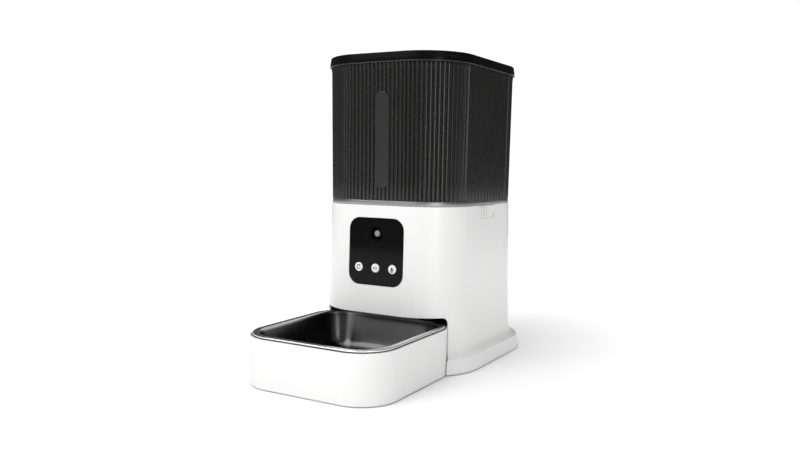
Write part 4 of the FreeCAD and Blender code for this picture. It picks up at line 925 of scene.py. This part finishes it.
def camera_unit():
    front = -PANEL_LOW.y
    wide = (BARREL_HIGH.x - BARREL_LOW.x) / 2
    bore = (LENS_HIGH.x - LENS_LOW.x) / 2 + 0.1 * MM
    centre = (0.0, 0.0, (BARREL_LOW.z + BARREL_HIGH.z) / 2)
    section = Profile([(wide, front - 6 * MM, 0), (wide, front - 1.3 * MM, 0.15 * MM),
                       (wide - 1.3 * MM, front - 1.3 * MM, 0.3 * MM),
                       (wide - 1.7 * MM, front - 2.2 * MM, 0.2 * MM),
                       (wide - 2.2 * MM, front - 2.2 * MM, 0.2 * MM),
                       (bore, front - 4.4 * MM, 0.2 * MM), (bore, front - 8 * MM, 0)], 4 * MM)
    lathed("lens_barrel", section, centre, 56, "base", "inner_black", ["camera_barrel"],
           LENS_BLACK, (False, False))
    glass = bore - 0.15 * MM
    dome = Profile([(glass, front - 6.5 * MM, 0), (glass, front - 4.1 * MM, 0.25 * MM),
                    (2.4 * MM, front - 2.9 * MM, 7 * MM), (0.2 * MM, front - 2.75 * MM, 0)],
                   1 * MM)
    lathed("lens_dome", dome, centre, 56, "base", "lens_glass", ["camera_lens"], LENS_BLACK)
    # a pale disc just behind the lens dome, a painted highlight for the lens's reflection
    highlight_bead = Profile([(3.4 * MM, front - 3.6 * MM, 0), (3.4 * MM, front - 3.1 * MM, 0.2 * MM),
                    (2.0 * MM, front - 2.2 * MM, 2.4 * MM), (0.1 * MM, front - 2.0 * MM, 0)],
                   1 * MM)
    lathed("lens_painted_highlight", highlight_bead, centre, 40, "base", "lens_glass", material=LENS_PAINTED_HIGHLIGHT)


def stroke(points, half):
    """Closed outline of a stroke of even width along a line of points."""
    left, right = [], []
    for i, point in enumerate(points):
        ahead = Vector(points[min(i + 1, len(points) - 1)]) - Vector(points[max(i - 1, 0)])
        side = Vector((-ahead.y, ahead.x)).normalized() * half
        left.append(Vector(point) + side)
        right.append(Vector(point) - side)
    return left + right[::-1]


def arc(x, z, radius, start, end, count=24):
    turns = [math.radians(start + (end - start) * i / count) for i in range(count + 1)]
    return [(x + radius * math.cos(turn), z + radius * math.sin(turn)) for turn in turns]


def icon_shapes(word):
    """Generic symbols in mm: a ring with an arrow, two grains, a microphone."""
    if word == "left":
        return [stroke(arc(0, 0, 2.0, 70, 350), 0.36), [(0.7, 2.9), (2.7, 1.9), (0.9, 0.9)]]
    if word == "middle":
        grains = []
        for side in (-1, 1):
            swell = [math.sin(math.pi * i / 16) for i in range(17)]
            outer = [(side * (0.3 + 2.0 * w), 2.0 - 4.0 * i / 16) for i, w in enumerate(swell)]
            inner = [(side * (0.3 + 0.7 * w), -2.0 + 4.0 * i / 16) for i, w in enumerate(swell)]
            grains.append(outer + inner[1:-1])
        return grains
    head = arc(0, 1.0, 1.1, 0, 180, 12) + arc(0, -0.6, 1.1, 180, 360, 12)
    stem = [(-0.3, -2.2), (0.3, -2.2), (0.3, -3.0), (-0.3, -3.0)]
    foot = [(-1.3, -2.9), (1.3, -2.9), (1.3, -3.4), (-1.3, -3.4)]
    return [head, stroke(arc(0, -0.4, 1.95, 180, 360, 18), 0.3), stem, foot]


def key(word):
    middle, front = key_middle(word)
    reach = -front
    section = Profile([(1.6 * MM, reach - 6.6 * MM, 0), (1.6 * MM, reach - 4.0 * MM, 0.1 * MM),
                       (5.85 * MM, reach - 4.0 * MM, 0.1 * MM),
                       (5.85 * MM, reach - 3.2 * MM, 0.1 * MM),
                       (4.8 * MM, reach - 3.1 * MM, 0.1 * MM), (4.8 * MM, reach, 0.7 * MM),
                       (0.3 * MM, reach + 0.05 * MM, 0)], 2 * MM)
    lathed("key_" + word, section, (middle.x, 0, middle.z), 48, "button_" + word,
           "button_white", ["button_" + word], caps=(True, True))
    ink = bmesh.new()
    for shape in icon_shapes(word):
        back = [ink.verts.new((middle.x + x * MM, front + 0.3 * MM, middle.z + z * MM))
                for x, z in shape]
        raised = bmesh.ops.extrude_face_region(ink, geom=[ink.faces.new(back)])
        moved = [g for g in raised["geom"] if isinstance(g, bmesh.types.BMVert)]
        bmesh.ops.translate(ink, verts=moved, vec=(0, -0.38 * MM, 0))
    bmesh.ops.recalc_face_normals(ink, faces=ink.faces)
    mesh = bpy.data.meshes.new("icon_" + word)
    ink.to_mesh(mesh)
    ink.free()
    placed("icon_" + word, mesh, "button_" + word, "button_white", material=ICON_INK)


GRIP_FIRST = 5.1 * MM         # first bar from the slider's front end
GRIP_STEP = 6.5 * MM
GRIP_TALL = 4.4 * MM          # half height of a bar
GRIP_ROUND = 1.0 * MM
# one bar from its foot to its top: half width and rise in mm, lean of the normal in degrees
GRIP_RINGS = ((1.0, -0.3, 90), (1.0, 0.35, 80), (0.75, 0.62, 40), (0.4, 0.7, 8))


def grips(word, side):
    """Three finger bars that stand out of a lock slider's pad."""
    low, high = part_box("lock_slider_" + word)
    surface = (high.x if side > 0 else -low.x) - 0.5 * MM
    middle_z = (low.z + high.z) / 2
    skin = Skin()
    for number in range(3):
        y = low.y + GRIP_FIRST + GRIP_STEP * number
        rows = []
        for half, rise, tilt in GRIP_RINGS:
            row = []
            for turn in range(0, 360, 20):
                c, s = math.cos(math.radians(turn)), math.sin(math.radians(turn))
                reach = (GRIP_TALL - GRIP_ROUND) * (1 if s > 0 else -1)
                spot = (side * (surface + rise * MM), y + c * half * MM,
                        middle_z + reach + s * half * MM)
                lean = math.radians(tilt)
                row.append((spot, Vector((side * math.cos(lean), c * math.sin(lean),
                                          s * math.sin(lean)))))
            rows.append(row)
        skin.face(skin.rows(rows)[-1])
    skin.build("grips_" + word, "lock_" + word, "white_shell", material=GRIP_GREY)


# -------------------- bowl holder and bowl
def holder():
    section = Profile([(-2 * MM, HOLDER_LOW.z, 0), (0, HOLDER_LOW.z, EDGE),
                       (0, HOLDER_HIGH.z, EDGE), (-1.8 * MM, HOLDER_HIGH.z, 0)])
    swept("holder_shell", HOLDER, section, "holder", "white_holder", ["bowl_holder"])
    sharp = Profile([(0, HOLDER_LOW.z, 0), (0, HOLDER_HIGH.z, 0)], step=400 * MM)
    core("holder_inside", "bowl_holder", HOLDER, sharp, lambda point: EDGE, "holder",
         "white_holder")


def bowl():
    top, low = BOWL_HIGH.z, BOWL_LOW.z
    rim = (BOWL_HIGH.x - BOWL_LOW.x) / 2 - HOLDER.half_w
    mouth = rim - 6.0 * MM
    foot = mouth - 12.0 * MM
    seat = HOLDER_HIGH.z
    sheet = 0.8 * MM
    curl = 0.7 * MM
    section = Profile([(foot - 14 * MM, low, 0), (foot + sheet, low, 15 * MM),
                       (mouth + sheet, seat, 0.6 * MM), (rim - 1.6 * MM, seat, 0.2 * MM),
                       (rim - 1.4 * MM, seat + curl, 0.2 * MM), (rim, seat + curl, 0.3 * MM),
                       (rim, top, 0.8 * MM), (mouth, top, 1.6 * MM),
                       (foot, low + sheet, 15 * MM), (foot - 14 * MM, low + sheet, 0)], bend=7)
    swept("bowl_pressing", HOLDER, section, "bowl", "stainless", ["steel_bowl"], caps=True)


housing()
trim_ring()
tank()
window()
lid()
panel()
camera_unit()
for name in KEYS:
    key(name)
grips("left", -1)
grips("right", 1)
holder()
bowl()


# -------------------- camera, floor and light
CAMERA_TURN, CAMERA_TILT, CAMERA_ROLL = 29.79, 4.53, 0.84
CAMERA_LENS = 34.79
CAMERA_AT = (0.42843, BODY_Y - 0.80234, 0.21974)


def camera():
    data = bpy.data.cameras.new("camera")
    data.sensor_width = 36.0
    data.lens = CAMERA_LENS
    data.clip_start, data.clip_end = 0.05, 60
    obj = bpy.data.objects.new("camera", data)
    bpy.context.scene.collection.objects.link(obj)
    turn, tilt, roll = (math.radians(a) for a in (CAMERA_TURN, CAMERA_TILT, CAMERA_ROLL))
    look = Vector((-math.sin(turn) * math.cos(tilt), math.cos(turn) * math.cos(tilt),
                   -math.sin(tilt)))
    right = Vector((math.cos(turn), math.sin(turn), 0))
    up = right.cross(look)
    right_r = right * math.cos(roll) + up * math.sin(roll)
    up_r = -right * math.sin(roll) + up * math.cos(roll)
    rotation = Matrix((right_r, up_r, -look)).transposed()
    obj.matrix_world = Matrix.Translation(CAMERA_AT) @ rotation.to_4x4()
    bpy.context.scene.camera = obj


def softbox(name, turn, rise, distance, size, power, height=0.15):
    """An area light at an azimuth and elevation, aimed at the feeder."""
    a, b = math.radians(turn), math.radians(rise)
    away = Vector((math.sin(a) * math.cos(b), -math.cos(a) * math.cos(b), math.sin(b)))
    data = bpy.data.lights.new(name, "AREA")
    data.shape = "RECTANGLE"
    data.size, data.size_y = size
    data.energy = power
    obj = bpy.data.objects.new(name, data)
    bpy.context.scene.collection.objects.link(obj)
    obj.location = Vector((0, BODY_Y - 0.05, height)) + away * distance
    obj.rotation_euler = (-away).to_track_quat("-Z", "Y").to_euler()


FLOOR_HALF = 1.5
# the floor glows faintly, more so away from the feeder, so that it runs out into the background
GLOW_NEAR, GLOW_FAR, GLOW_START, GLOW_END = 0.02, 0.75, 0.12, 0.75


def pale_floor():
    half = FLOOR_HALF
    floor_mesh = bpy.data.meshes.new("floor")
    floor_mesh.from_pydata([(-half, -half, 0), (half, -half, 0), (half, half, 0),
                            (-half, half, 0)], [], [(0, 1, 2, 3)])
    floor = bpy.data.objects.new("floor", floor_mesh)
    bpy.context.scene.collection.objects.link(floor)
    pale = Nodes("floor_pale")
    pale.feed("Base Color", pale.ramp(pale.noise(3.0), 0.90, 0.92))
    distance = pale.tree.nodes.new("ShaderNodeVectorMath")
    distance.operation = "LENGTH"
    place = pale.tree.nodes.new("ShaderNodeTexCoord")
    pale.link(place.outputs["Object"], distance.inputs[0])
    pale.feed("Emission Strength", pale.ramp(distance.outputs["Value"], GLOW_NEAR, GLOW_FAR,
                                             GLOW_START, GLOW_END))
    pale.set(Roughness=0.8, Specular_IOR_Level=0.1, Emission_Color=(1, 1, 1, 1))
    floor_mesh.materials.append(pale.material)


WORLD_LIGHT = 0.38            # what lights the feeder
WORLD_SEEN = 1.05             # what the camera sees behind it
MIRROR_FRONT, MIRROR_BACK = 0.23, 0.08      # what glossy faces reflect, in front and behind


def surroundings():
    """A white world that looks different to light, to reflections and to the camera."""
    world = bpy.data.worlds.new("studio")
    bpy.context.scene.world = world
    world.use_nodes = True
    tree = world.node_tree
    ground = tree.nodes["Background"]
    seen, dim = (tree.nodes.new("ShaderNodeBackground") for _ in range(2))
    for node in (ground, seen, dim):
        node.inputs["Color"].default_value = (1, 1, 1, 1)
    ground.inputs["Strength"].default_value = WORLD_LIGHT
    seen.inputs["Strength"].default_value = WORLD_SEEN
    toward = tree.nodes.new("ShaderNodeSeparateXYZ")
    tree.links.new(tree.nodes.new("ShaderNodeTexCoord").outputs["Generated"],
                   toward.inputs["Vector"])
    fade = tree.nodes.new("ShaderNodeMapRange")
    for socket, value in (("From Min", -0.2), ("From Max", 0.5), ("To Min", MIRROR_FRONT),
                          ("To Max", MIRROR_BACK)):
        fade.inputs[socket].default_value = value
    tree.links.new(toward.outputs["Y"], fade.inputs["Value"])
    tree.links.new(fade.outputs["Result"], dim.inputs["Strength"])
    ray = tree.nodes.new("ShaderNodeLightPath")
    shader = ground.outputs["Background"]
    for kind, other in (("Is Glossy Ray", dim), ("Is Camera Ray", seen)):
        mix = tree.nodes.new("ShaderNodeMixShader")
        tree.links.new(ray.outputs[kind], mix.inputs["Fac"])
        tree.links.new(shader, mix.inputs[1])
        tree.links.new(other.outputs["Background"], mix.inputs[2])
        shader = mix.outputs["Shader"]
    tree.links.new(shader, tree.nodes["World Output"].inputs["Surface"])


def studio():
    pale_floor()
    surroundings()
    softbox("key", -20, 37, 2.2, (1.8, 1.6), 26)
    softbox("top", 0, 88, 2.0, (2.4, 2.4), 24)
    softbox("strip", 54, 2, 1.9, (0.42, 0.6), 5, 0.25)
    scene = bpy.context.scene
    scene.view_settings.view_transform = "Standard"
    scene.view_settings.exposure = 0.0


camera()
studio()
